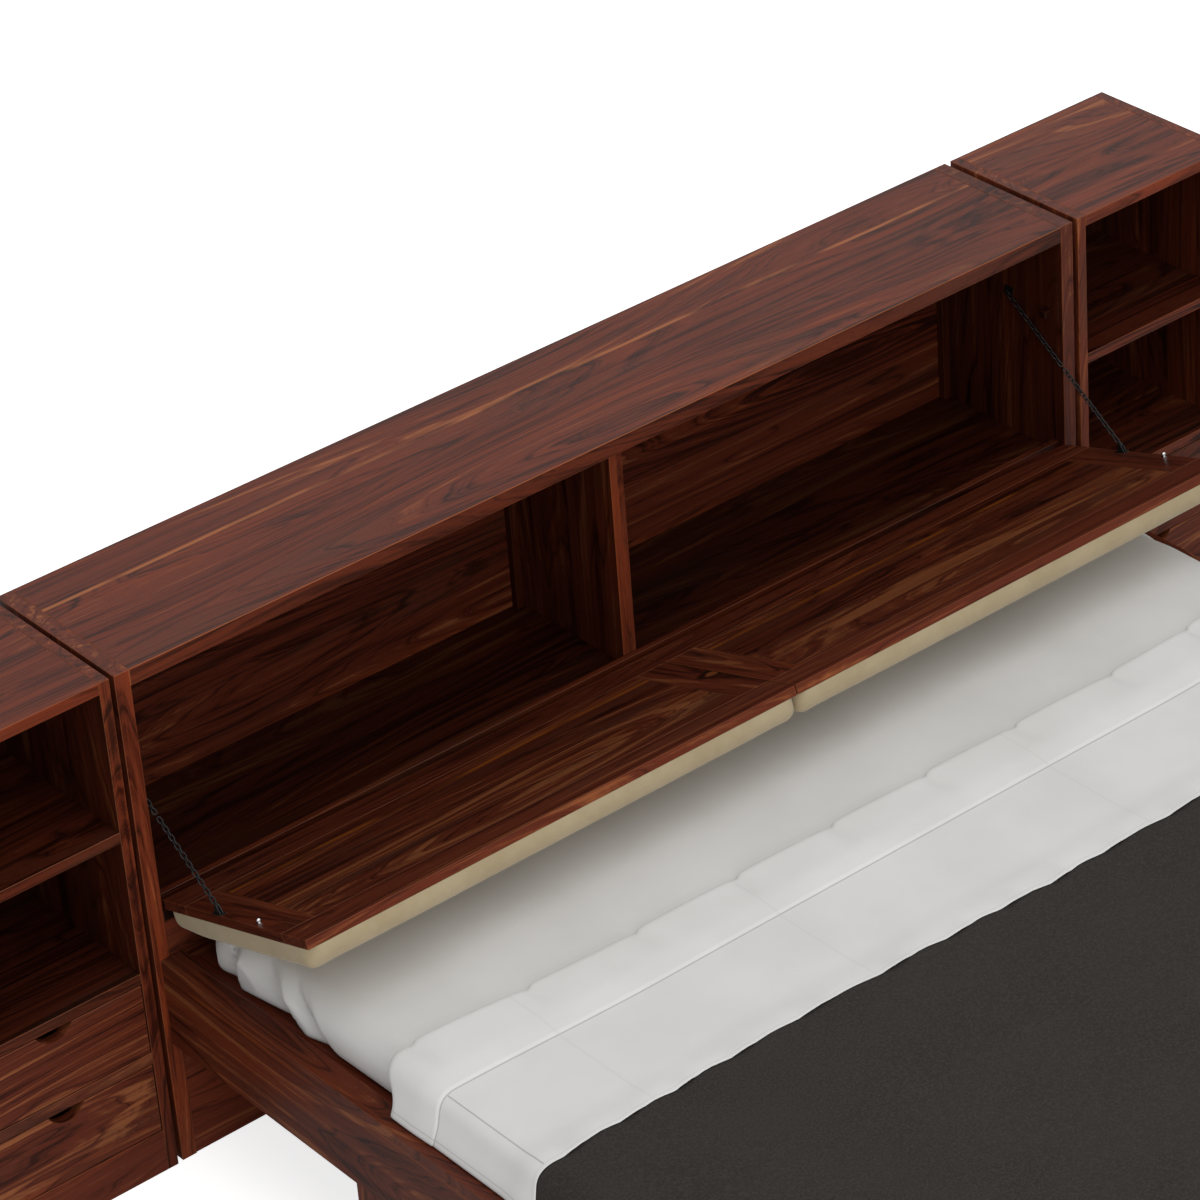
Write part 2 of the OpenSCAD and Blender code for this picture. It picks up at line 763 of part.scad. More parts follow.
module bed_legs() {
  half = leg_w / 2;
  both_sides() for (d = side_leg_places()) side_leg(d);
  color("#652918") placed() for (d = [head_leg_y / 2, bed_l / 2, bed_l - rail_t - leg_w])
    board([-half, -d - half, 0], [half, -d + half, ledger_z1 - beam_w]);
}

// Ledgers along the side rails and the beam down the middle
module platform_supports() {
  y0 = foot_in_y;
  y1 = -head_rail_t;
  color("#8a6a4a") {
    both_sides() board([bed_in_x - ledger_w, y0, ledger_z1 - ledger_h], [bed_in_x, y1, ledger_z1]);
    placed() board([-beam_w / 2, y0, ledger_z1 - beam_w], [beam_w / 2, y1, ledger_z1]);
  }
}

module platform() {
  x = bed_in_x - platform_clear;
  color("#8a7c68") placed()
    board([-x, foot_in_y + platform_clear, ledger_z1],
          [x, -head_rail_t - platform_clear, platform_z]);
}

// ---- Mattress and bedding ------------------------------------------------------------------

// Rise of the mattress at a distance from its nearest edge
function crown_at(d) = mattress_crown * (1 - pow(1 - min(1, max(0, d) / crown_reach), 2));

// Outline of the mattress drawn in by e
function mattress_outline(e) =
  let (r = max(mattress_corner_r - e, least_corner_r),
       x = mat_x - e, y0 = mat_foot + e, y1 = mat_head - e)
    concat(arc([x - r, y1 - r], r, 0, 90, 6), arc([-x + r, y1 - r], r, 90, 180, 6),
           arc([-x + r, y0 + r], r, 180, 270, 6), arc([x - r, y0 + r], r, 270, 360, 6));

module mattress() {
  r = mattress_edge_r;
  top = mattress_edge_z;
  // Bottom edge, the slightly drawn-in side, and the rounded upper edge
  b = mattress_bottom_r;
  side_rings = concat(
    [[b, mat_z0], [b / 5, mat_z0 + 0.8 * b], [0, mat_z0 + 1.8 * b],
     [mattress_waist, (mat_z0 + 1.2 * b + top - r) / 2]],
    [for (a = [0 : 22.5 : 90]) [r - r * cos(a), top - r + r * sin(a)]]
  );
  crown_rings = [for (e = [110, 230, 400, 640]) [e, top + crown_at(e)]];
  color("#dcdcda") placed() ring_stack([
    for (ring = concat(side_rings, crown_rings)) at_height(mattress_outline(ring[0]), ring[1])
  ]);
}

// The bedding's rows run from the left hem over the top to the right hem. They follow each other
// from the head edge down the side, round the foot corner and along the foot. A row gives the
// place on the mattress outline [x, y], the outward direction and the spine's place. The spine
// ends short of the foot, and the foot's rows share its last part.
straight_end = -(mat_foot + mattress_corner_r);
spine_short = 420;
spine_foot = 340;
function spine_y(start, d) =
  start + (d - start) * (straight_end - spine_short - start) / (straight_end - start);

function side_rows(start, places) = [
  for (d = places) [[-mat_x, -d], [-1, 0], [0, -spine_y(start, d)]]
];

function foot_rows(steps_corner, steps_foot) =
  let (r = mattress_corner_r, c = [-mat_x + r, mat_foot + r], n = steps_corner + steps_foot,
       y0 = -(straight_end - spine_short), dy = spine_foot / n)
    concat(
      [for (k = [1 : steps_corner])
        let (a = 180 + 90 * k / steps_corner, dir = [cos(a), sin(a)])
          [c + r * dir, dir, [0, y0 - dy * k]]],
      [for (k = [1 : steps_foot])
        [[c.x * (1 - 0.98 * k / steps_foot), mat_foot], [0, -1], [0, y0 - dy * (steps_corner + k)]]]
    );

// Length along the outline, which sets the folds' places
function row_length(place) =
  let (along = -place.y, across = place.x + mat_x)
    min(along, straight_end) + across + max(0, along - straight_end);

function fold_at(place) = fold_d * (1 - cos(360 * row_length(place) / fold_pitch)) / 2;

// Counts of rows along a side of the sheet and of the blanket, round a foot corner, and along
// half of the foot
sheet_steps = 16;
blanket_steps = 14;
corner_rows = 4;
end_rows = 7;

// Columns from the hem to the top edge: outward distance, height, outward and upward share of the
// cloth's thickness, share of the fold
cloth_columns = [
  [hem_spread, rail_z1 + rest_clear, 1, 0, 1],
  [hem_spread * 0.45, rail_z1 + 26, 1, 0, 0.7],
  [sheet_clear, mattress_edge_z - 17, 1, 0.1, 0.25],
  [-5, mattress_edge_z - 4, 0.8, 0.7, 0],
  [-mattress_edge_r, mattress_edge_z + sheet_clear, 0, 1, 0],
];
// Shares of the way from the top edge to the spine
cloth_top_shares = [0.2, 0.5, 1];

// A point of the cloth, at a distance off its inner face
function cloth_side_point(row, column, off) =
  let (out = column[0] + column[2] * off + column[4] * fold_at(row[0]), p = row[0] + out * row[1])
    [p.x, p.y, column[1] + column[3] * off];

function cloth_top_point(row, share, off) =
  let (edge = row[0] - mattress_edge_r * row[1], p = edge + share * (row[2] - edge),
       d = min(mat_x - abs(p.x), p.y - mat_foot))
    [p.x, p.y, mattress_edge_z + sheet_clear + crown_at(d) + off];

// The whole row, from the left hem to the right one
function cloth_row(row, off) =
  let (left = concat([for (c = cloth_columns) cloth_side_point(row, c, off)],
                     [for (s = cloth_top_shares) cloth_top_point(row, s, off)]),
       m = len(left) - 1)
    concat(left, [for (k = [m - 1 : -1 : 0]) [-left[k].x, left[k].y, left[k].z]]);

// A hanging cloth between two faces, given as equal grids of points. The last row is closed
// across the foot, where its left and right halves meet.
module cloth(outer, inner) {
  rows = len(outer);
  cols = len(outer[0]);
  mid = (cols - 1) / 2;
  last = (rows - 1) * cols;
  deep = rows * cols;
  function quad(a, b, c, d) = [[a, b, c], [a, c, d]];
  skin = concat(
    [for (j = [0 : rows - 2], k = [0 : cols - 2])
      let (a = j * cols + k) each quad(a, a + 1, a + cols + 1, a + cols)],
    [for (k = [0 : mid - 2])
      each quad(last + k, last + k + 1, last + cols - 2 - k, last + cols - 1 - k)],
    [[last + mid - 1, last + mid, last + mid + 1]]
  );
  rim = concat(
    [for (k = [0 : cols - 2]) each quad(k + 1, k, deep + k, deep + k + 1)],
    [for (j = [0 : rows - 2])
      let (a = j * cols) each quad(a, a + cols, deep + a + cols, deep + a)],
    [for (j = [0 : rows - 2])
      let (b = j * cols + cols - 1) each quad(b + cols, b, deep + b, deep + b + cols)],
    quad(last, last + cols - 1, deep + last + cols - 1, deep + last)
  );
  polyhedron(
    points = concat([for (row = outer) each row], [for (row = inner) each row]),
    faces = concat(skin, [for (f = skin) [deep + f[0], deep + f[2], deep + f[1]]], rim)
  );
}

// The head hem is a folded band, thicker than the rest of the sheet.
module top_sheet() {
  band_end = sheet_start + sheet_band;
  flat_start = band_end + 2 * sheet_band_t;
  step = (straight_end - flat_start) / sheet_steps;
  places = concat([sheet_start, band_end], [for (k = [0 : sheet_steps]) flat_start + k * step]);
  rows = concat(side_rows(sheet_start, places), foot_rows(corner_rows, end_rows));
  color("#e2e2e0") placed() cloth(
    [for (j = [0 : len(rows) - 1]) cloth_row(rows[j], sheet_t + (j < 2 ? sheet_band_t : 0))],
    [for (row = rows) cloth_row(row, 0)]
  );
}

module blanket() {
  inside = sheet_t + blanket_clear;
  step = (straight_end - blanket_start) / blanket_steps;
  places = [for (k = [0 : blanket_steps]) blanket_start + k * step];
  rows = concat(side_rows(blanket_start, places), foot_rows(corner_rows, end_rows));
  color("#37332f") placed() cloth(
    [for (row = rows) cloth_row(row, inside + blanket_t)],
    [for (row = rows) cloth_row(row, inside)]
  );
}

// ---- Nodes ---------------------------------------------------------------------------------

cabinet_side(LEFT);  // cabinet_side_left
cabinet_side(RIGHT);  // cabinet_side_right
cabinet_top();
cabinet_floor();
cabinet_divider();
cabinet_back();
cabinet_lower_front();
door_stop_batten();
corner_battens();
fixed_hinge_leaves();
catch_blocks();
chain_wall_brackets();
door_frame(LEFT);  // door_left_frame
door_panel(LEFT);  // door_left_panel
door_pad(LEFT);  // door_left_pad
door_hinge_leaves(LEFT);  // door_left_hinge_leaves
door_catch_stud(LEFT);  // door_left_catch_stud
door_chain_eye(LEFT);  // door_left_chain_eye
door_frame(RIGHT);  // door_right_frame
door_panel(RIGHT);  // door_right_panel
door_pad(RIGHT);  // door_right_pad
door_hinge_leaves(RIGHT);  // door_right_hinge_leaves
door_catch_stud(RIGHT);  // door_right_catch_stud
door_chain_eye(RIGHT);  // door_right_chain_eye
chain_upper(LEFT);  // chain_left_upper
chain_lower(LEFT);  // chain_left_lower
chain_upper(RIGHT);  // chain_right_upper
chain_lower(RIGHT);  // chain_right_lower
stand_sides(LEFT);  // stand_left_sides
stand_top(LEFT);  // stand_left_top
stand_shelves(LEFT);  // stand_left_shelves
stand_base(LEFT);  // stand_left_base
stand_back(LEFT);  // stand_left_back
stand_sides(RIGHT);  // stand_right_sides
stand_top(RIGHT);  // stand_right_top
stand_shelves(RIGHT);  // stand_right_shelves
stand_base(RIGHT);  // stand_right_base
stand_back(RIGHT);  // stand_right_back
drawer_rails();
drawer_runners();
stand_spacers();
drawer_front(LEFT, UPPER);  // drawer_left_upper_front
drawer_box(LEFT, UPPER);  // drawer_left_upper_box
drawer_front(LEFT, LOWER);  // drawer_left_lower_front
drawer_box(LEFT, LOWER);  // drawer_left_lower_box
drawer_front(RIGHT, UPPER);  // drawer_right_upper_front
drawer_box(RIGHT, UPPER);  // drawer_right_upper_box
drawer_front(RIGHT, LOWER);  // drawer_right_lower_front
drawer_box(RIGHT, LOWER);  // drawer_right_lower_box
side_rail(LEFT);  // side_rail_left
side_rail(RIGHT);  // side_rail_right
head_rail();
foot_rail();
bed_legs();
platform_supports();
platform();
mattress();
top_sheet();
blanket();
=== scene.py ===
"""King-size bed whose headboard is a storage cabinet with two padded drop-down doors, between two
nightstands. Lengths are in metres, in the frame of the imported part: +X to the right of someone who
faces the headboard, +Y towards the headboard, the floor at z = 0."""

import json
import math

import bmesh
import bpy
from mathutils import Matrix, Vector, geometry, noise


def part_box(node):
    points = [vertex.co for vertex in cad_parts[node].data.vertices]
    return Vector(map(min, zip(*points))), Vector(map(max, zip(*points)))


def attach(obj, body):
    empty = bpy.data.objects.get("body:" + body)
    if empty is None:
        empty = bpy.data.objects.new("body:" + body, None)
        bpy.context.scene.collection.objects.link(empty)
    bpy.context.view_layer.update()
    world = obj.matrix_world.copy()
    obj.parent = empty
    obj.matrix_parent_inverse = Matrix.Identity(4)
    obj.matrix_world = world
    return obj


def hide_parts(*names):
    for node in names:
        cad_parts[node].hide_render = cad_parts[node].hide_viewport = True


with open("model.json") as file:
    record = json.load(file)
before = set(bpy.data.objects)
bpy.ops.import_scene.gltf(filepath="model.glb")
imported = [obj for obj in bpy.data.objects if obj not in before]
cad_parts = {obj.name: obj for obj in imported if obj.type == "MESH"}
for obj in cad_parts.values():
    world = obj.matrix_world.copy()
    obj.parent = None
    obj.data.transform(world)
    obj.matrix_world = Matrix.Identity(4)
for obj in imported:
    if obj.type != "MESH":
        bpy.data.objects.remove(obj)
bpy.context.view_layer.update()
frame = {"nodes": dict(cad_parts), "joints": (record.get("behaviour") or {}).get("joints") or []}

WHITE = (1, 1, 1, 1)
SIDES = ("left", "right")


def add_object(name, data):
    made = bpy.data.objects.new(name, data)
    bpy.context.scene.collection.objects.link(made)
    return made


# ---- The frame's places ----------------------------------

def door_turn(side):
    """Turns a door's open place into its closed one, about its hinges."""
    joint = next(j for j in frame["joints"] if j["name"] == f"door_{side}_fold")
    pin = Matrix.Translation(joint["pos_m"])
    angle = math.radians(joint["range_deg"][1])
    return pin @ Matrix.Rotation(angle, 4, Vector(joint["axis"])) @ pin.inverted()


def closed_box(node, turn):
    """Lowest and highest corner of a door's piece when the door is closed."""
    places = [turn @ v.co for v in frame["nodes"][node].data.vertices]
    low = Vector([min(p[k] for p in places) for k in range(3)])
    high = Vector([max(p[k] for p in places) for k in range(3)])
    return low, high


# ---- Node helpers ----------------------------------------

def rgb(code):
    """A colour written as on a paint card, such as "7a3420", in linear light."""
    parts = [int(code[k:k + 2], 16) / 255 for k in (0, 2, 4)]
    linear = [p / 12.92 if p < 0.04 else ((p + 0.055) / 1.055) ** 2.4 for p in parts]
    return (*linear, 1)


def wire(tree, node, wires):
    """Feeds inputs of a node, each with a value or with the socket that it is joined to."""
    for key, value in wires:
        if isinstance(value, bpy.types.NodeSocket):
            tree.links.new(value, node.inputs[key])
        else:
            node.inputs[key].default_value = value


def put(tree, kind, wires=(), **settings):
    """A new node with its inputs fed."""
    made = tree.nodes.new(kind)
    for name, value in settings.items():
        setattr(made, name, value)
    wire(tree, made, wires)
    return made


def calc(tree, operation, a, b=0.0, c=0.0, clamp=False):
    wires = [(0, a), (1, b), (2, c)]
    return put(tree, "ShaderNodeMath", wires, operation=operation, use_clamp=clamp).outputs[0]


def opposite(tree, mask):
    """0 where a mask is 1, and 1 where it is 0."""
    return calc(tree, "SUBTRACT", 1.0, mask)


def vector(tree, operation, a, b=(0, 0, 0)):
    return put(tree, "ShaderNodeVectorMath", [(0, a), (1, b)], operation=operation).outputs[0]


def axes(tree, place):
    """The three parts of a place or a direction."""
    return put(tree, "ShaderNodeSeparateXYZ", [(0, place)]).outputs


def spread(tree, place, scale, detail=2.0, rough=0.5):
    """Noise whose features are 1/scale metres long in each direction."""
    wires = [("Vector", vector(tree, "MULTIPLY", place, scale)), ("Scale", 1.0),
             ("Detail", detail), ("Roughness", rough)]
    return put(tree, "ShaderNodeTexNoise", wires).outputs["Fac"]


def cloudy(tree, place, scale, detail=2.0, rough=0.5):
    """Noise of the same size in all directions."""
    return spread(tree, place, (scale, scale, scale), detail, rough)


def between(tree, value, low, high):
    """0 below low, 1 above high, smooth between them."""
    wires = [("Value", value), ("From Min", low), ("From Max", high)]
    made = put(tree, "ShaderNodeMapRange", wires, interpolation_type="SMOOTHSTEP")
    return made.outputs[0]


def line_at(tree, value, centre, inner, outer):
    """1 where a value is closer than inner to a centre, 0 further than outer from it."""
    away = calc(tree, "ABSOLUTE", calc(tree, "SUBTRACT", value, centre))
    return opposite(tree, between(tree, away, inner, outer))


def beyond(tree, value, low, high):
    """How far a value is outside low to high. It is less than 0 inside."""
    away = calc(tree, "ABSOLUTE", calc(tree, "SUBTRACT", value, (low + high) / 2))
    return calc(tree, "SUBTRACT", away, (high - low) / 2)


def blend_colour(tree, share, a, b, blend="MIX"):
    wires = [(0, share), (6, a), (7, b)]
    made = put(tree, "ShaderNodeMix", wires, data_type="RGBA", blend_type=blend)
    return made.outputs[2]


def lay_over(tree, colour, other, mask, most):
    """Puts another colour over one where a mask is, with this share where the mask is 1."""
    return blend_colour(tree, calc(tree, "MULTIPLY", mask, most), colour, other)


def tinted(tree, colour, tone, tint=(1, 1, 1)):
    """The colour made this much lighter or darker."""
    parts = [tone * part for part in tint]
    return blend_colour(tree, 1.0, colour, (*parts, 1), "MULTIPLY")


def group(name, inputs, outputs):
    """A shader node group, the sockets that it is given and the node that takes its results.
    Inputs are name, kind and default."""
    tree = bpy.data.node_groups.new(name, "ShaderNodeTree")
    for label, kind, value in inputs:
        socket = tree.interface.new_socket(label, in_out="INPUT", socket_type=f"NodeSocket{kind}")
        socket.default_value = value
    for label, kind in outputs:
        tree.interface.new_socket(label, in_out="OUTPUT", socket_type=f"NodeSocket{kind}")
    return tree, tree.nodes.new("NodeGroupInput").outputs, tree.nodes.new("NodeGroupOutput")


def place_group(tree, made, wires):
    return put(tree, "ShaderNodeGroup", wires, node_tree=made).outputs


# ---- Shared effects --------------------------------------

def growth_lines(tree, swell, turns, detail, rough):
    """Lines that follow the slow swell of the log."""
    wires = [("W", calc(tree, "MULTIPLY", swell, turns)), ("Scale", 1.0), ("Detail", detail),
             ("Roughness", rough)]
    return put(tree, "ShaderNodeTexNoise", wires, noise_dimensions="1D").outputs["Fac"]


def figure_tone(tree, place, parts, chance, contrast):
    """How light the wood is, about 0.5 on average. Parts are masks with their shares, and chance
    makes a whole board a little lighter or darker."""
    streaks = spread(tree, place, (1.1, 62.0, 62.0), 4.0, 0.62)
    clouds = spread(tree, place, (1.7, 10.0, 10.0))
    tone = calc(tree, "MULTIPLY", calc(tree, "SUBTRACT", chance, 0.5), 0.08)
    for part, share in (*parts, (streaks, 0.36), (clouds, 0.10)):
        tone = calc(tree, "MULTIPLY_ADD", part, share, tone)
    gain = calc(tree, "MULTIPLY", contrast, 1.75)
    return calc(tree, "MULTIPLY_ADD", calc(tree, "SUBTRACT", tone, 0.5), gain, 0.5)


def figure_patches(tree, place, tone, given):
    """The dark, middle and light wood of a tone, with warm and grey patches."""
    colour = blend_colour(tree, between(tree, tone, 0.34, 0.52), given["Dark"], given["Middle"])
    warm = between(tree, spread(tree, place, (0.9, 21.0, 21.0)), 0.50, 0.70)
    warm = calc(tree, "MULTIPLY", warm, between(tree, tone, 0.40, 0.60))
    colour = lay_over(tree, colour, given["Warm"], warm, 0.6)
    colour = blend_colour(tree, between(tree, tone, 0.54, 0.72), colour, given["Light"])
    grey = between(tree, spread(tree, place, (2.2, 11.0, 11.0), 4.0, 0.6), 0.50, 0.72)
    grey = calc(tree, "MULTIPLY", grey, given["Contrast"], clamp=True)
    return lay_over(tree, colour, given["Grey"], grey, 0.45)


def glue_line(tree, count, board):
    """A fine line where two boards meet. Count is how many boards lie before a place."""
    share = calc(tree, "FRACT", count)
    nearer = calc(tree, "MINIMUM", share, opposite(tree, share))
    return opposite(tree, between(tree, calc(tree, "MULTIPLY", nearer, board), 0.0003, 0.0011))


def wood_figure():
    """Figured boards glued edge to edge. Place has the grain along X and the board's width
    along Y."""
    colours = [(name, "Color", WHITE)
               for name in ("Dark", "Middle", "Light", "Warm", "Grey", "Heart")]
    tree, given, result = group(
        "wood figure",
        [("Place", "Vector", (0, 0, 0)), ("Shift", "Vector", (0, 0, 0)), ("Board", "Float", 0.5),
         ("First seam", "Float", 0.0), ("Contrast", "Float", 1.0)] + colours,
        [("Colour", "Color"), ("Roughness", "Float"), ("Height", "Float")])
    from_seam = calc(tree, "SUBTRACT", axes(tree, given["Place"])[1], given["First seam"])
    count = calc(tree, "DIVIDE", from_seam, given["Board"])
    chance = put(tree, "ShaderNodeTexWhiteNoise", [("W", calc(tree, "FLOOR", count))],
                 noise_dimensions="1D").outputs
    jump = vector(tree, "MULTIPLY", chance["Color"], (3.1, 0.9, 0.7))
    place = vector(tree, "ADD", vector(tree, "ADD", given["Place"], given["Shift"]), jump)

    wander = spread(tree, place, (1.6, 13.0, 13.0), 3.0)
    swell = calc(tree, "MULTIPLY_ADD", wander, 0.10, spread(tree, place, (0.55, 4.6, 4.6), 1.0))
    bands = growth_lines(tree, swell, 17.0, 2.0, 0.5)
    lines = growth_lines(tree, swell, 95.0, 3.0, 0.65)
    fibres = spread(tree, place, (6.0, 430.0, 430.0), 2.0, 0.6)
    tone = figure_tone(tree, place, ((bands, 0.24), (lines, 0.20), (fibres, 0.10)),
                       chance["Value"], given["Contrast"])
    colour = figure_patches(tree, place, tone, given)

    veins = opposite(tree, between(tree, lines, 0.30, 0.42))
    veins = calc(tree, "MULTIPLY", veins, given["Contrast"], clamp=True)
    pores = between(tree, spread(tree, place, (34.0, 900.0, 900.0), 1.0), 0.60, 0.72)
    seam = glue_line(tree, count, given["Board"])
    for mask, most in ((veins, 0.48), (pores, 0.5), (seam, 0.65)):
        colour = lay_over(tree, colour, given["Heart"], mask, most)
    height = calc(tree, "MULTIPLY_ADD", pores, -1.2, fibres)
    wire(tree, result, [("Colour", colour),
                        ("Roughness", calc(tree, "MULTIPLY_ADD", bands, 0.14, 0.30)),
                        ("Height", calc(tree, "MULTIPLY_ADD", seam, -2.0, height))])
    return tree


def eased_edges():
    """A mask of the small flats along a board's edges, where a pale highlight is painted."""
    tree, given, result = group("eased edges", [("Normal", "Vector", (0, 0, 1))],
                                [("Mask", "Float")])
    parts = axes(tree, vector(tree, "ABSOLUTE", given["Normal"]))
    most = calc(tree, "MAXIMUM", calc(tree, "MAXIMUM", parts[0], parts[1]), parts[2])
    wire(tree, result, [("Mask", opposite(tree, between(tree, most, 0.72, 0.96)))])
    return tree


def weave():
    """Crossing threads a pitch apart, as a height and a small change of tone."""
    tree, given, result = group(
        "weave", [("Place", "Vector", (0, 0, 0)), ("Pitch", "Float", 0.001),
                  ("Slub", "Float", 0.3)],
        [("Height", "Float"), ("Tone", "Float")])
    loose = put(tree, "ShaderNodeTexNoise", [("Vector", given["Place"]), ("Scale", 90.0),
                                             ("Detail", 2.0)]).outputs["Color"]
    loose = vector(tree, "SUBTRACT", loose, (0.5, 0.5, 0.5))
    loose = vector(tree, "MULTIPLY", loose, (0.0012, 0.0012, 0.0012))
    parts = axes(tree, vector(tree, "ADD", given["Place"], loose))
    turn = calc(tree, "DIVIDE", 2 * math.pi, given["Pitch"])
    threads = [calc(tree, "SINE", calc(tree, "MULTIPLY", parts[k], turn)) for k in (0, 1)]
    height = calc(tree, "MULTIPLY", threads[0], threads[1])
    slub = calc(tree, "MULTIPLY", spread(tree, given["Place"], (300.0, 900.0, 900.0)),
                given["Slub"])
    wire(tree, result, [("Height", height),
                        ("Tone", calc(tree, "MULTIPLY_ADD", height, 0.25, slub))])
    return tree


WOOD = wood_figure()
EDGES = eased_edges()
WEAVE = weave()

ROSEWOOD = {"Dark": rgb("34130a"), "Middle": rgb("642c1b"), "Light": rgb("985a36"),
            "Warm": rgb("82391c"), "Grey": rgb("4a3024"), "Heart": rgb("150a07")}
PLAIN_WOOD = {"Dark": rgb("8a6439"), "Middle": rgb("b08a58"), "Light": rgb("c9a878"),
              "Warm": rgb("b98a50"), "Grey": rgb("a08058"), "Heart": rgb("6e4c2a")}
# Wider than any piece, so that no glue line falls on it
ONE_BOARD = 5.0
# The tint of the painted light that the tones front and top lay on a piece's front and top faces
PAINTED_LIGHT_TINT = (1, 0.95, 0.85)


# ---- Materials -------------------------------------------

def material(name):
    made = bpy.data.materials.new(name)
    made.use_nodes = True
    tree = made.node_tree
    tree.nodes.clear()
    shader = tree.nodes.new("ShaderNodeBsdfPrincipled")
    output = tree.nodes.new("ShaderNodeOutputMaterial")
    tree.links.new(shader.outputs[0], output.inputs[0])
    return made, tree, shader


def object_place(tree):
    return put(tree, "ShaderNodeTexCoord").outputs["Object"]


def bump(tree, height, strength, distance):
    wires = [("Height", height), ("Strength", strength), ("Distance", distance)]
    return put(tree, "ShaderNodeBump", wires).outputs[0]


def turned(tree, place, normal, turn):
    """Place and normal as they are once the piece is turned."""
    angles = turn.to_euler()
    place = put(tree, "ShaderNodeMapping", [("Vector", place), ("Rotation", angles),
                                            ("Location", turn.to_translation())])
    normal = put(tree, "ShaderNodeMapping", [("Vector", normal), ("Rotation", angles)],
                 vector_type="NORMAL")
    return place.outputs[0], normal.outputs[0]


def board_figure(tree, place, order, shift, board, seam, contrast, colours):
    """The figure with the axes in another order, such as "zyx" for a grain along Z."""
    parts = axes(tree, place)
    wires = [(k, parts["xyz".index(axis)]) for k, axis in enumerate(order)]
    along = put(tree, "ShaderNodeCombineXYZ", wires).outputs[0]
    wires = [("Place", along), ("Shift", (shift * 1.7, shift * 0.93, shift * 0.61)),
             ("Board", board), ("First seam", seam), ("Contrast", contrast)]
    return place_group(tree, WOOD, wires + list(colours.items()))


def add_band(tree, colour, place, across, band):
    """A streak along the grain that fades in places. Band is its place across the board, half
    its width and its colour."""
    centre, half, code = band
    loose = calc(tree, "MULTIPLY_ADD", cloudy(tree, place, 4.0), half * 2, -half)
    streak = line_at(tree, calc(tree, "ADD", across, loose), centre, half * 0.2, half)
    fade = between(tree, cloudy(tree, place, 7.0), 0.35, 0.6)
    return lay_over(tree, colour, rgb(code), calc(tree, "MULTIPLY", streak, fade), 0.8)


def add_stiles(tree, colour, cross, parts, opening, dark):
    """Gives a door frame's stiles, which stand between its rails, their own colour and a fine
    joint. Opening is what the frame surrounds: its least and greatest distance from the bed's
    middle, its lowest z and its highest."""
    near, far, low, high = opening
    past = beyond(tree, calc(tree, "ABSOLUTE", parts[0]), near, far)
    within = calc(tree, "MULTIPLY", beyond(tree, parts[2], low, high), -1.0)
    depth = calc(tree, "MINIMUM", past, within)
    colour = blend_colour(tree, calc(tree, "GREATER_THAN", depth, 0.0), colour, cross)
    return lay_over(tree, colour, dark, line_at(tree, depth, 0.0, 0.0002, 0.0010), 0.7)


def add_knot(tree, colour, place, knot, dark):
    """A knot of this x, z and radius: a pale core in a dark ring, longer across the grain."""
    x, z, radius = knot
    away = vector(tree, "MULTIPLY", vector(tree, "SUBTRACT", place, (x, 0, z)), (0.6, 0, 0.85))
    away = put(tree, "ShaderNodeVectorMath", [(0, away)], operation="LENGTH").outputs["Value"]
    uneven = calc(tree, "MULTIPLY_ADD", cloudy(tree, place, 60.0), radius, -radius / 2)
    away = calc(tree, "ADD", away, uneven)
    core = opposite(tree, between(tree, away, radius * 0.4, radius * 0.9))
    colour = lay_over(tree, colour, rgb("8a4c28"), core, 0.75)
    ring = line_at(tree, away, radius * 1.05, radius * 0.15, radius * 0.5)
    return lay_over(tree, colour, dark, ring, 0.9)


def paint_face_light(tree, colour, normal, front, top):
    """Paints light on the faces that look to -Y with the tone front, and on those that look to +Z
    with the tone top.
    """
    looks = axes(tree, normal)
    for tone, axis, sign in ((front, 1, -1.0), (top, 2, 1.0)):
        if tone != 1.0:
            facing = between(tree, calc(tree, "MULTIPLY", looks[axis], sign), 0.4, 0.8)
            lit = tinted(tree, colour, tone, PAINTED_LIGHT_TINT)
            colour = blend_colour(tree, facing, colour, lit)
    return colour


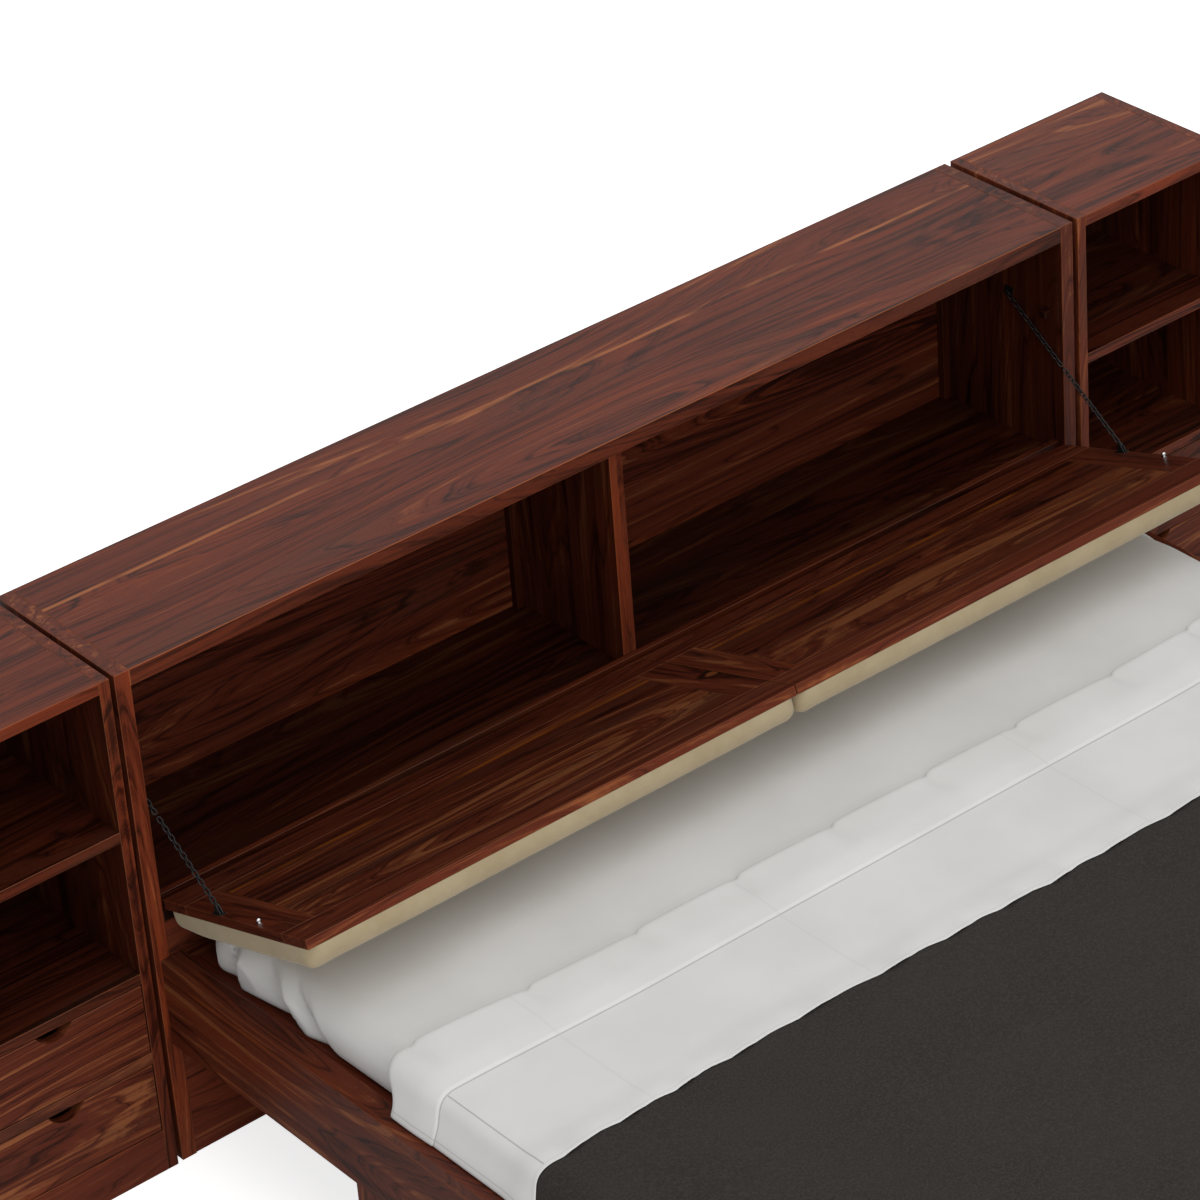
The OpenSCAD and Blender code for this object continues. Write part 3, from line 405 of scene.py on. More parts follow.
def wood(name, order, shift=0.0, board=ONE_BOARD, seam=0.0, tone=1.0, front=1.0, top=1.0,
         bands=(), grooves=(), knots=(), opening=None, inside=None, colours=ROSEWOOD,
         contrast=1.0, turn=None):
    """A wood finish. The grain runs along the first axis of order, and the boards that the piece
    is glued from lie beside each other along the second, with one seam at seam. Shift picks the
    stretch of wood. Grooves are the heights of narrow grooves, darkened with painted shade. Inside
    is the middle and half the width of a compartment, and the tone of the painted shade on its
    walls. Front and top are the tones of painted light on the faces that look to -Y and to +Z, and
    a pale highlight is painted along the eased edges. Turn brings the piece to the place in which
    all of these hold."""
    made, tree, shader = material(name)
    place = object_place(tree)
    normal = put(tree, "ShaderNodeNewGeometry").outputs["Normal"]
    if turn is not None:
        place, normal = turned(tree, place, normal, turn)
    figure = board_figure(tree, place, order, shift, board, seam, contrast, colours)
    colour = figure["Colour"]
    parts = axes(tree, place)
    for band in bands:
        colour = add_band(tree, colour, place, parts["xyz".index(order[1])], band)
    if opening is not None:
        cross = board_figure(tree, place, "zxy", shift + 3.3, ONE_BOARD, 0.0, contrast, colours)
        colour = add_stiles(tree, colour, cross["Colour"], parts, opening, colours["Heart"])
    for knot in knots:
        colour = add_knot(tree, colour, place, knot, colours["Heart"])
    # Painted shade on the walls inside a compartment.
    if inside is not None:
        middle, half, wall_shade = inside
        walls = calc(tree, "LESS_THAN",
                     beyond(tree, parts[0], middle - half, middle + half), 0.0005)
        colour = blend_colour(tree, walls, colour, tinted(tree, colour, wall_shade))
    # A pale highlight painted along the eased edges, where they would catch the light.
    wear_and_highlight = place_group(tree, EDGES, [("Normal", normal)])["Mask"]
    colour = lay_over(tree, colour, colours["Light"], wear_and_highlight, 0.35)
    colour = tinted(tree, colour, tone)
    # Painted shade in the narrow grooves.
    for height in grooves:
        groove_shade = line_at(tree, parts[2], height, 0.0006, 0.0016)
        colour = lay_over(tree, colour, colours["Heart"], groove_shade, 0.8)
    # Painted light on the faces that look forward and up.
    wire(tree, shader, [("Base Color", paint_face_light(tree, colour, normal, front, top)),
                        ("Roughness", figure["Roughness"]), ("Specular IOR Level", 0.12),
                        ("Normal", bump(tree, figure["Height"], 0.25, 0.0004))])
    return made


def suede():
    made, tree, shader = material("suede")
    place = object_place(tree)
    patches = cloudy(tree, place, 11.0, 3.0, 0.6)
    wear_and_highlight = between(tree, cloudy(tree, place, 38.0, 2.0, 0.6), 0.48, 0.70)
    nap = cloudy(tree, place, 700.0)
    colour = blend_colour(tree, between(tree, patches, 0.30, 0.70), rgb("a99777"), rgb("b2a182"))
    colour = lay_over(tree, colour, rgb("c2b596"), wear_and_highlight, 0.14)
    colour = lay_over(tree, colour, rgb("8d7d5c"), nap, 0.25)
    height = calc(tree, "MULTIPLY_ADD", patches, 6.0, nap)
    wire(tree, shader, [("Base Color", colour), ("Roughness", 0.9), ("Sheen Weight", 0.2),
                        ("Specular IOR Level", 0.2), ("Normal", bump(tree, height, 0.3, 0.0004))])
    return made


def cotton_colour(tree, place):
    """The colour of the white cotton, and the height of its threads."""
    cloth = place_group(tree, WEAVE, [("Place", place), ("Pitch", 0.0011), ("Slub", 0.4)])
    soft = between(tree, cloudy(tree, place, 5.0, 3.0), 0.3, 0.7)
    colour = blend_colour(tree, soft, rgb("dedddb"), rgb("e6e5e4"))
    colour = lay_over(tree, colour, rgb("c9c7c4"), cloth["Tone"], 0.12)
    return colour, calc(tree, "MULTIPLY", cloth["Height"], 0.15)


def finish_cotton(tree, shader, colour, height):
    wire(tree, shader, [("Base Color", colour), ("Roughness", 0.85), ("Sheen Weight", 0.1),
                        ("Specular IOR Level", 0.25),
                        ("Normal", bump(tree, height, 0.4, 0.0006))])


def cotton(name, tone):
    made, tree, shader = material(name)
    colour, threads = cotton_colour(tree, object_place(tree))
    finish_cotton(tree, shader, tinted(tree, colour, tone), threads)
    return made


def pressed_cotton(half):
    """The folded head of the top sheet, with painted shade in its pressed creases, along its
    stitched hems and at its band's seam. Its UV is the length across the bed and the share of the
    way from the wavy edge to the head band."""
    made, tree, shader = material("pressed_cotton")
    colour, threads = cotton_colour(tree, object_place(tree))
    flat = axes(tree, put(tree, "ShaderNodeUVMap", uv_map="flat").outputs[0])
    across, share = calc(tree, "ABSOLUTE", flat[0]), flat[1]
    body = calc(tree, "MULTIPLY", between(tree, share, 0.028, 0.034),
                opposite(tree, between(tree, share, 0.99, 1.0)))
    crease = calc(tree, "MULTIPLY", line_at(tree, across, SHEET_CREASE, 0.0004, 0.0016), body)
    faint = [line_at(tree, across, x, 0.0006, 0.004) for x in FAINT_CREASES]
    hem = line_at(tree, share, 0.031, 0.002, 0.007)
    side_hem = line_at(tree, across, half - 0.009, 0.0004, 0.0016)
    band = line_at(tree, share, 1.0, 0.003, 0.011)
    # Painted shade in the creases, along the hems and at the band's seam; the same lines are dented
    # by the bump.
    crease_and_hem_shade = calc(tree, "MAXIMUM", crease, band)
    for mark, strength in ((hem, 0.22), (side_hem, 0.5), (calc(tree, "ADD", *faint), 0.12)):
        crease_and_hem_shade = calc(tree, "MAXIMUM", crease_and_hem_shade, calc(tree, "MULTIPLY", mark, strength))
    colour = lay_over(tree, colour, rgb("8f8d8b"), crease_and_hem_shade, 0.55)
    finish_cotton(tree, shader, colour, calc(tree, "MULTIPLY_ADD", crease_and_hem_shade, -2.0, threads))
    return made


def wool():
    made, tree, shader = material("grey_wool")
    place = object_place(tree)
    cloth = place_group(tree, WEAVE, [("Place", place), ("Pitch", 0.0019), ("Slub", 0.9)])
    soft = between(tree, cloudy(tree, place, 7.0, 3.0), 0.3, 0.7)
    fuzz = cloudy(tree, place, 260.0, 3.0, 0.7)
    colour = blend_colour(tree, soft, rgb("282523"), rgb("2f2b29"))
    colour = blend_colour(tree, between(tree, fuzz, 0.38, 0.68), colour, rgb("3f3a37"))
    colour = lay_over(tree, colour, rgb("3c3735"), between(tree, cloth["Tone"], 0.1, 0.8), 0.5)
    height = calc(tree, "MULTIPLY_ADD", fuzz, 1.5, cloth["Height"])
    wire(tree, shader, [("Base Color", colour), ("Roughness", 0.95), ("Sheen Weight", 0.05),
                        ("Specular IOR Level", 0.1), ("Normal", bump(tree, height, 0.4, 0.0005))])
    return made


def metal(name, colour, rough, metallic=1.0):
    """A metal, or with metallic 0 its paint, with pale wear in small spots."""
    made, tree, shader = material(name)
    wear = cloudy(tree, object_place(tree), 260.0, 3.0)
    tint = lay_over(tree, colour, rgb("8a8a88"), between(tree, wear, 0.6, 0.8), 0.15)
    wire(tree, shader, [("Base Color", tint), ("Metallic", metallic),
                        ("Roughness", calc(tree, "MULTIPLY_ADD", wear, 0.12, rough)),
                        ("Specular IOR Level", 0.35)])
    return made


# ---- The frame's own pieces ------------------------------

# Half the width between the cabinet's sides, and how thick a nightstand's sides are
CABINET_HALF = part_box("cabinet_side_right")[0].x
STAND_BOARD = 0.019

# How the grain runs in each board, and how its figure differs from the others'. Streaks and glue
# lines that the photograph shows have their places here, and the rest is up to the shift.
# Tone is partly the board's own wood and partly painted light and shade. It darkens boards that lie
# in shadow, such as the compartments' floor, back, divider and battens, the shelves, the head rail
# and the catch blocks, and it lightens the cabinet's top and lower front. Front paints light on the
# faces that look forward, and inside paints shade on a compartment's walls.
BOARDS = {
    "cabinet_side_left": dict(order="zyx", shift=1.0, front=1.35,
                              inside=(0.0, CABINET_HALF, 0.45)),
    "cabinet_side_right": dict(order="zyx", shift=2.3, tone=0.78,
                               inside=(0.0, CABINET_HALF, 0.55)),
    "cabinet_top": dict(order="xyz", shift=3.1, board=0.225, seam=1.085, tone=1.12, front=2.3,
                        contrast=0.82, bands=[(1.083, 0.006, "a8643a")]),
    "cabinet_floor": dict(order="xyz", shift=4.7, board=0.105, seam=0.86, tone=0.24),
    "cabinet_divider": dict(order="zyx", shift=5.2, tone=0.5, front=2.6),
    "cabinet_back": dict(order="xzy", shift=6.4, board=0.118, seam=0.46, tone=0.74),
    "cabinet_lower_front": dict(order="xzy", shift=7.7, board=0.221, tone=1.15, contrast=0.7,
                                bands=[(0.25, 0.010, "a5683f")]),
    "door_stop_batten": dict(order="xyz", shift=8.1, tone=0.5),
    "corner_battens": dict(order="zyx", shift=9.9, tone=0.3, contrast=0.5),
    "side_rail_left": dict(order="yzx", shift=10.3, tone=0.75, bands=[(0.354, 0.005, "84401c")]),
    "side_rail_right": dict(order="yzx", shift=11.8, tone=0.75, contrast=0.9),
    "head_rail": dict(order="xzy", shift=12.2, tone=0.6),
    "foot_rail": dict(order="xzy", shift=13.6, tone=0.8),
    "bed_legs": dict(order="zyx", shift=14.4),
    "drawer_rails": dict(order="xyz", shift=15.9),
    "platform": dict(order="yxz", shift=31.0, board=0.3, seam=0.05, tone=1.1, contrast=0.7),
    "catch_blocks": dict(order="zyx", shift=35.1, tone=0.16, contrast=0.3),
}


def stand_boards(side, change):
    """The boards of one nightstand. Change sets its figure apart from the other's."""
    low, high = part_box(f"stand_{side}_sides")
    # The nightstand's compartment, with the tone of the painted shade on its walls.
    shaded_room = ((low.x + high.x) / 2, (high.x - low.x) / 2 - STAND_BOARD, 0.5)
    wide = dict(order="xyz", board=0.155, seam=1.01)
    drawer = dict(order="xzy", tone=0.92, contrast=1.1)
    return {
        f"stand_{side}_sides": dict(order="zyx", shift=16.3 + change, front=1.1, inside=shaded_room),
        f"stand_{side}_back": dict(order="zxy", shift=18.6 + change, tone=0.6, inside=shaded_room),
        f"stand_{side}_top": dict(shift=20.4 + change, tone=1.12, front=1.2, contrast=0.85, **wide),
        f"stand_{side}_shelves": dict(shift=22.8 + change, tone=0.48, front=2.0, **wide),
        f"stand_{side}_base": dict(order="xzy", shift=24.1 + change, contrast=0.7),
        f"drawer_{side}_upper_front": dict(shift=27.6 + change, **drawer),
        f"drawer_{side}_lower_front": dict(shift=29.4 + change, **drawer),
    }


BOARDS |= stand_boards("left", 0) | stand_boards("right", 1)
PLAIN_BOARDS = {"drawer_runners": "yxz", "platform_supports": "yzx"}
PLAIN_BOARDS |= {f"drawer_{side}_{level}_box": "yzx" for side in SIDES
                 for level in ("upper", "lower")}

# A door's frame: the widths of its stiles and rails, how far its two grooves are from the hinged
# and from the free edge, and the knot by the middle of the bed, from the door's inner edge and
# from its hinged edge, with its radius
STILE = 0.062
RAIL = 0.065
HINGED_GROOVE = 0.042
FREE_GROOVE = 0.012
KNOT = (0.009, 0.199, 0.011)


def finish_node(name, made):
    node = frame["nodes"][name]
    for holder in node.material_slots:
        holder.material = made


def finish_boards():
    for name, spec in BOARDS.items():
        finish_node(name, wood(f"rosewood_{name}", **spec))
    for name, grain in PLAIN_BOARDS.items():
        finish_node(name, wood(f"plain_{name}", grain, colours=PLAIN_WOOD, contrast=0.6))


def finish_door(side):
    turn = door_turn(side)
    low, high = closed_box(f"door_{side}_frame", turn)
    near, far = sorted((abs(low.x), abs(high.x)))
    opening = (near + STILE, far - STILE, low.z + RAIL, high.z - RAIL)
    knots = [(high.x - KNOT[0], low.z + KNOT[1], KNOT[2])] if side == "left" else []
    # Tone darkens both door pieces, partly for their own wood and partly as painted shade, and top
    # paints light on the frame's upper faces.
    frame_wood = wood(f"rosewood_door_{side}_frame", "xzy", 32.7, tone=0.68, top=1.4,
                      contrast=0.95, grooves=(low.z + HINGED_GROOVE, high.z - FREE_GROOVE),
                      knots=knots, opening=opening, turn=turn)
    finish_node(f"door_{side}_frame", frame_wood)
    panel_wood = wood(f"rosewood_door_{side}_panel", "xzy", 33.2, board=0.068, seam=0.531,
                      tone=0.57, contrast=1.2, turn=turn,
                      bands=[(0.565, 0.008, "a4581f"), (0.705, 0.006, "93502a")])
    finish_node(f"door_{side}_panel", panel_wood)


def finish_fittings():
    iron = metal("black_iron", rgb("050505"), 0.45, 0.0)
    steel = metal("dark_steel", rgb("5a544e"), 0.35)
    chrome = metal("chrome", rgb("d8d8d8"), 0.08)
    fittings = {"chain_wall_brackets": iron, "fixed_hinge_leaves": steel, "stand_spacers": steel}
    for side in SIDES:
        fittings |= {f"door_{side}_hinge_leaves": steel, f"door_{side}_chain_eye": iron,
                     f"chain_{side}_upper": iron, f"chain_{side}_lower": iron}
        finish_node(f"door_{side}_catch_stud", chrome)
    for name, made in fittings.items():
        finish_node(name, made)


# ---- Soft pieces -----------------------------------------

def new_piece(name, shape, finish, body):
    """Makes a bmesh the object of a piece that rides on a body."""
    mesh = bpy.data.meshes.new(name)
    bmesh.ops.recalc_face_normals(shape, faces=shape.faces)
    shape.to_mesh(mesh)
    shape.free()
    for face in mesh.polygons:
        face.use_smooth = True
    mesh.materials.append(finish)
    piece = add_object(name, mesh)
    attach(piece, body)
    return piece


def thicken(piece, thickness):
    """Gives a cloth its thickness, half of it on each side."""
    made = piece.modifiers.new("thickness", "SOLIDIFY")
    made.thickness = thickness
    made.offset = 0.0
    graph = bpy.context.evaluated_depsgraph_get()
    graph.update()
    mesh = bpy.data.meshes.new_from_object(piece.evaluated_get(graph))
    piece.modifiers.clear()
    piece.data = mesh


def ease(value, low, high):
    """0 below low, 1 above high, smooth between them."""
    share = min(1, max(0, (value - low) / (high - low)))
    return share * share * (3 - 2 * share)


def unevenness(x, y, z, most):
    """A swing between about -most and most that changes slowly with its three numbers."""
    return noise.noise(Vector((x, y, z))) * most


def square_to_round(a, b):
    """Moves a place, a and b from a corner's middle, from a square's edge to a circle's."""
    angle = math.pi / 4 * (b / a if b < a else 2 - a / b)
    reach = max(a, b)
    return reach * math.cos(angle), reach * math.sin(angle)


# ---- Door pads -------------------------------------------

# Radii of a pad's corners, seen from the front, and of its rim at the short ends, at the free
# edge and at the hinged edge
PAD_CORNER = 0.026
PAD_END = 0.020
PAD_EDGE = 0.031
PAD_HINGED_EDGE = 0.034
# How near to a corner's middle the rim's radius changes from one to the other
PAD_BLEND = 0.02
# How much thicker than its solid a pad is, and how far from the hinge that starts and is full
PAD_STOUT = 0.006
PAD_STOUT_FROM = 0.01
PAD_STOUT_TO = 0.09
# How much fuller it is in its middle, and how uneven there and along its rim
PAD_PUFF = 0.003
PAD_SLACK = 0.0012
PAD_WAVER = 0.0007
PAD_CUTS = 63


def gather(share, amount=0.9):
    """Draws even places from -1 to 1 closer to the ends."""
    return share * (1 - amount) + amount * math.sin(share * math.pi / 2)


def round_off(a, b, radius):
    """Brings a point of a square corner, a and b inside its sides, onto the round one."""
    da, db = max(0, radius - a), max(0, radius - b)
    if min(da, db) <= 0:
        return a, b
    reach_a, reach_b = square_to_round(da, db)
    return radius - reach_a, radius - reach_b


def pad_point(cube, half, seed):
    """Where a point of a cube from -1 to 1 lies on a closed door's pad of this half size, from
    the middle of its solid. The pad's face looks to -Y and its hinged edge is the lower one."""
    x, y, z = (gather(c) for c in cube)
    sx, sz = math.copysign(1, x), math.copysign(1, z)
    inset = half.x * (1 - abs(x)), half.z * (1 - abs(z))
    rim = min(inset)
    along = ease(inset[0] - inset[1], -PAD_BLEND, PAD_BLEND)
    edge = PAD_END + ((PAD_EDGE if sz > 0 else PAD_HINGED_EDGE) - PAD_END) * along
    inset = round_off(*inset, PAD_CORNER)
    from_hinge = half.z + sz * (half.z - inset[1])
    stout = PAD_STOUT * ease(from_hinge, PAD_STOUT_FROM, PAD_STOUT_TO)
    rim_in, depth = round_off(rim, (half.y + stout / 2) * (1 + y), edge)
    p = Vector((sx * (half.x - inset[0]), depth - stout - half.y, sz * (half.z - inset[1])))
    if rim_in > rim:
        core = Vector((sx * min(abs(p.x), half.x - PAD_CORNER), p.y,
                       sz * min(abs(p.z), half.z - PAD_CORNER)))
        p += (core - p).normalized() * (rim_in - rim)
    if y < 0:
        full = (1 - (p.x / half.x) ** 4) * (1 - (p.z / half.z) ** 4)
        slack = unevenness(p.x * 9, p.z * 9, seed, PAD_SLACK)
        p.y -= (PAD_PUFF + slack) * full * -y
    p.x += sx * unevenness(p.z * 14, p.y * 30, 5.0, PAD_WAVER)
    p.z += sz * unevenness(p.x * 14, p.y * 30, 9.0, PAD_WAVER)
    return p


def door_pad(side, finish):
    """A padded slab with round corners and a round rim, a little fuller in its middle."""
    turn = door_turn(side)
    low, high = closed_box(f"door_{side}_pad", turn)
    middle, half = (low + high) / 2, (high - low) / 2
    shape = bmesh.new()
    bmesh.ops.create_cube(shape, size=2)
    bmesh.ops.subdivide_edges(shape, edges=shape.edges, cuts=PAD_CUTS, use_grid_fill=True)
    for vert in shape.verts:
        vert.co = middle + pad_point(vert.co, half, len(side))
    shape.transform(turn.inverted())
    piece = new_piece(f"pad_{side}", shape, finish, f"door_{side}")
    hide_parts(f"door_{side}_pad")


# ---- How cloth lies on the mattress ----------------------

# How much higher the mattress is in its middle than at its edge, and how far in it rises
MATTRESS_CROWN = 0.005
CROWN_REACH = 0.6
# Radius of the flat's corners, seen from above, before cloth falls over its edge
PLATE_CORNER = 0.03
# How far a curve's handles reach where it is to be a quarter round of radius 1
ROUND_HANDLE = 0.5523


class Plate:
    """The flat of the mattress inside its round edge, on which the bedding lies. With an open
    head the cloth ends short of the mattress's head, so that only the sides and foot count."""

    def __init__(self, edge):
        low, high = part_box("mattress")
        self.low = Vector((low.x + edge + PLATE_CORNER, low.y + edge + PLATE_CORNER))
        self.high = Vector((high.x - edge - PLATE_CORNER, high.y - edge - PLATE_CORNER))
        self.bottom = low.z
        self.top = high.z
        self.rim = high.z - MATTRESS_CROWN
        self.open_head = False

    def nearest(self, p):
        high_y = math.inf if self.open_head else self.high.y
        return Vector((min(max(p.x, self.low.x), self.high.x),
                       min(max(p.y, self.low.y), high_y)))

    def rounded(self, p):
        """Draws the square corners of a cut cloth round."""
        core = self.nearest(p)
        away = p - core
        if abs(away.x) < 1e-9 or abs(away.y) < 1e-9:
            return p
        x, y = square_to_round(abs(away.x), abs(away.y))
        return core + Vector((math.copysign(x, away.x), math.copysign(y, away.y)))

    def crown(self, p):
        """How much higher than the rim the mattress is at a place."""
        inside = min(self.high.x + PLATE_CORNER - abs(p.x), p.y - self.low.y + PLATE_CORNER)
        if not self.open_head:
            inside = min(inside, self.high.y + PLATE_CORNER - p.y)
        share = min(1, max(0, inside) / CROWN_REACH)
        return MATTRESS_CROWN * (1 - (1 - share) ** 2)


def fall(*legs):
    """How a cloth falls: a function from the length past the edge to how far out and how high it
    is, and its whole length. A leg is a curve of four points."""
    points = []
    for leg in legs:
        curve = geometry.interpolate_bezier(*[Vector((*p, 0)) for p in leg], 16)
        points += [p.xy for p in (curve if not points else curve[1:])]
    lengths = [0.0]
    for a, b in zip(points, points[1:]):
        lengths.append(lengths[-1] + (b - a).length)

    def at(d):
        d = max(0.0, d)
        for k in range(1, len(points)):
            if d <= lengths[k] or k == len(points) - 1:
                share = (d - lengths[k - 1]) / max(lengths[k] - lengths[k - 1], 1e-9)
                return points[k - 1].lerp(points[k], share)
    return at, lengths[-1]


def quarter(radius, top):
    """A quarter round from the flat down."""
    handle = ROUND_HANDLE * radius
    return ((0, top), (handle, top), (radius, top - radius + handle), (radius, top - radius))


def stations(low, high, step, fine, near, width):
    """Places from low to high, step apart, and fine apart within width of the places near."""
    places = [low]
    while places[-1] < high:
        gap = min(abs(places[-1] - n) for n in near)
        places.append(places[-1] + fine + (step - fine) * ease(gap, width, 4 * width))
    scale = (high - low) / (places[-1] - low)
    return [low + (p - low) * scale for p in places]


def cloth_grid(xs, ys):
    """A flat cut of cloth with threads at these places."""
    shape = bmesh.new()
    bmesh.ops.create_grid(shape, x_segments=len(xs) - 1, y_segments=len(ys) - 1, size=1)
    for vert in shape.verts:
        column = round((vert.co.x + 1) / 2 * (len(xs) - 1))
        row = round((vert.co.y + 1) / 2 * (len(ys) - 1))
        vert.co = (xs[column], ys[row], 0)
    return shape


def lay(plate, fallen, flat, thickness):
    """The place of a point of a flat cut, this thickness above what it lies on."""
    p = plate.rounded(flat)
    core = plate.nearest(p)
    away = p - core
    past = away.length - PLATE_CORNER
    if past <= 1e-6:
        return Vector((*p, plate.rim + plate.crown(p) + thickness))
    here = fallen(past)
    along = (here - fallen(past - 0.001)).normalized()
    place = core + away.normalized() * (PLATE_CORNER + here.x - along.y * thickness)
    return Vector((*place, here.y + along.x * thickness))


# ---- Mattress in its fitted sheet ------------------------

# Radius of the mattress's top edge
SHEET_ROUND = 0.048
# The furthest that the sheet's sides may come out from the bed's middle, well short of the rails
SHEET_REACH = 0.903
# Where the folds of the fitted sheet start at the top edge and end at the bottom edge, from the
# head, with how far the cloth stands out towards the foot of each
SHEET_FOLDS = ((0.850, 0.8100, 0.010), (0.770, 0.7335, 0.026), (0.695, 0.567, 0.026),
               (0.622, 0.479, 0.008), (0.10, 0.10, 0.0))
# Places among the folds, around which the threads are closer together
FOLDED_STRETCH = (0.75, 0.62, 0.50)


def side_folds(y, share):
    """How far the fitted sheet's side stands out at a share of the way down. Each fold rises
    slowly from its foot and drops off at its head, softly near the top edge."""
    edges = [top + (bottom - top) * share for top, bottom, _ in SHEET_FOLDS]
    for (head, foot), (_, _, full) in zip(zip(edges, edges[1:]), SHEET_FOLDS):
        if foot <= y <= head:
            t = (y - foot) / (head - foot)
            soft = 0.012 + 0.030 * (1 - share)
            shape = 1.15 * t ** 0.8 * ease(head - y, -0.002, soft) - 0.62
            return full * shape * ease(share, 0.04, 0.45)
    return 0.0


def mattress(finish):
    plate = Plate(SHEET_ROUND)
    top = plate.rim
    side = ((SHEET_ROUND, top - SHEET_ROUND), (SHEET_ROUND + 0.001, top - SHEET_ROUND - 0.010),
            (SHEET_ROUND - 0.002, plate.bottom + 0.007), (SHEET_ROUND - 0.014, plate.bottom))
    fallen, reach = fall(quarter(SHEET_ROUND, top), side)
    half = plate.high.x + PLATE_CORNER + reach
    foot = plate.low.y - PLATE_CORNER - reach
    head = plate.high.y + PLATE_CORNER + reach
    shape = cloth_grid(stations(-half, half, 0.03, 0.004, (-half, half), 0.09),
                       stations(foot, head, 0.03, 0.004, (foot, head, *FOLDED_STRETCH), 0.08))
    for vert in shape.verts:
        flat = vert.co.xy
        p = lay(plate, fallen, flat, unevenness(flat.x * 5, flat.y * 5, 3, 0.0007))
        past = abs(flat.x) - plate.high.x - PLATE_CORNER
        if past > 0:
            turn = min(past / SHEET_ROUND, math.pi / 2)
            swing = side_folds(flat.y, (plate.top - p.z) / (plate.top - plate.bottom))
            p.x = min(abs(p.x) + swing * math.sin(turn), SHEET_REACH) * math.copysign(1, p.x)
            p.z = min(p.z + swing * math.cos(turn), plate.top)
        vert.co = p
    rim = [e for e in shape.edges if e.is_boundary]
    bmesh.ops.edgeloop_fill(shape, edges=rim)
    piece = new_piece("mattress_in_sheet", shape, finish, "bed")
    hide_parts("mattress")


# ---- Top sheet, its folded head, and the blanket ---------

# Thickness of a layer of sheet with the gap below it, of the blanket and of the folded head
CLOTH = 0.0012
BLANKET = 0.0022
FOLDED_HEAD = 0.0011
# How high above the mattress the blanket and the folded head lie
BLANKET_LIFT = 3 * CLOTH
CUFF_LIFT = 2.5 * CLOTH
# Where the top sheet, below its folded head, and the blanket start
SHEET_HEAD = 0.22
BLANKET_HEAD = 0.022
# The edge that the top sheet rounds, and the height of its hem above the rail
DRAPED_EDGE = 0.03
HEM_GAP = 0.002
# The y of the folded head's upper edge and of its band's seam, in the bed's middle
BAND_HEAD = 0.325
BAND_SEAM = 0.213
# How far the folded head's pressed creases are from the bed's middle: the sharp one, at the
# mattress's edge, and the faint ones. Painted shade and a dent mark them.
SHEET_CREASE = 0.891
FAINT_CREASES = (0.276, 0.693)
# How much the folded head's band rises above the sheet, and how round it turns under
BAND_RISE = 0.0080
BAND_ROUND = 0.011
# Where the folded head's upper edge is pinched
NICKS = (-0.86, -0.66, -0.46, -0.264, -0.073, 0.12, 0.31, 0.52, 0.70, 0.86)


def hem_wave(x, lag=0.0):
    """The wave along the folded head's free edge, from -1 to 1."""
    return math.sin(x * 52 + 1.4 * math.sin(x * 9) + lag)


def cuff_edges(x):
    """The y of the folded head's wavy edge, of its band's seam and of its upper edge. Towards
    the sides the band climbs a little, and over the mattress's edge it falls back."""
    wide = ease(abs(x), 0.5, 0.93)
    waves = 0.0030 * hem_wave(x) + unevenness(x * 6, 0, 7, 0.005)
    drift = -0.012 * ease(x, -0.4, 0.1) - 0.030 * ease(abs(x), 0.90, 1.0)
    down = ease(abs(x), 0.885, 0.955)
    head = BAND_HEAD + 0.026 * wide - 0.040 * down
    share = next(((x - a) / (b - a) for a, b in zip(NICKS, NICKS[1:]) if a <= x <= b), 0)
    tuck = 0.0055 * (1 - share) * ease(share, 0, 0.06)
    head += (0.0035 * max(0, 4 * share * (1 - share)) ** 0.4 + tuck) * (1 - down)
    return waves + drift, BAND_SEAM + 0.015 * wide - 0.015 * down, head


def cuff_rows():
    """Places along the folded head: 0 to 1 from its wavy edge to the band's seam, on to 2 at
    its upper edge, then 2 to 3 around the fold and under."""
    body = stations(0, 1, 0.05, 0.012, (0, 1), 0.02)
    band = stations(1, 2, 0.08, 0.03, (1, 2), 0.05)
    under = [2 + k / 8 for k in range(1, 9)]
    return body + band[1:] + under


def cuff_place(x, row, half):
    """The flat place and the thickness below a point of the folded head."""
    edge, seam, head = cuff_edges(x)
    full = BAND_RISE * (1 - 0.45 * ease(abs(x), half - 0.060, half))
    pinch = max(0, 1 - min(abs(x - n) for n in NICKS) / 0.022)
    full *= 1 - 0.45 * ease(pinch, 0, 1) * ease(row, 1.4, 2.0)
    if row <= 1:
        y = edge + (seam - edge) * row
        over_blanket = 0.0038 * (1 - ease(y, 0.015, 0.060))
        lift = 0.0035 * ease(hem_wave(x, 2.6), 0.1, 1.0) * (1 - ease(row, 0, 0.14))
        return y, CUFF_LIFT + over_blanket + lift
    if row <= 2:
        y = seam + (head - BAND_ROUND - seam) * (row - 1)
        rise = 0.4 * ease(y - seam, -0.0005, 0.004) ** 0.5 + 0.6 * ease(y - seam, 0, 0.05) ** 0.7
        return y, CUFF_LIFT + full * rise
    angle = (row - 2) * math.pi * 0.9
    high = CUFF_LIFT + full
    drop = high / 2 * (1 - math.cos(angle))
    return head - BAND_ROUND + BAND_ROUND * math.sin(angle), high - drop


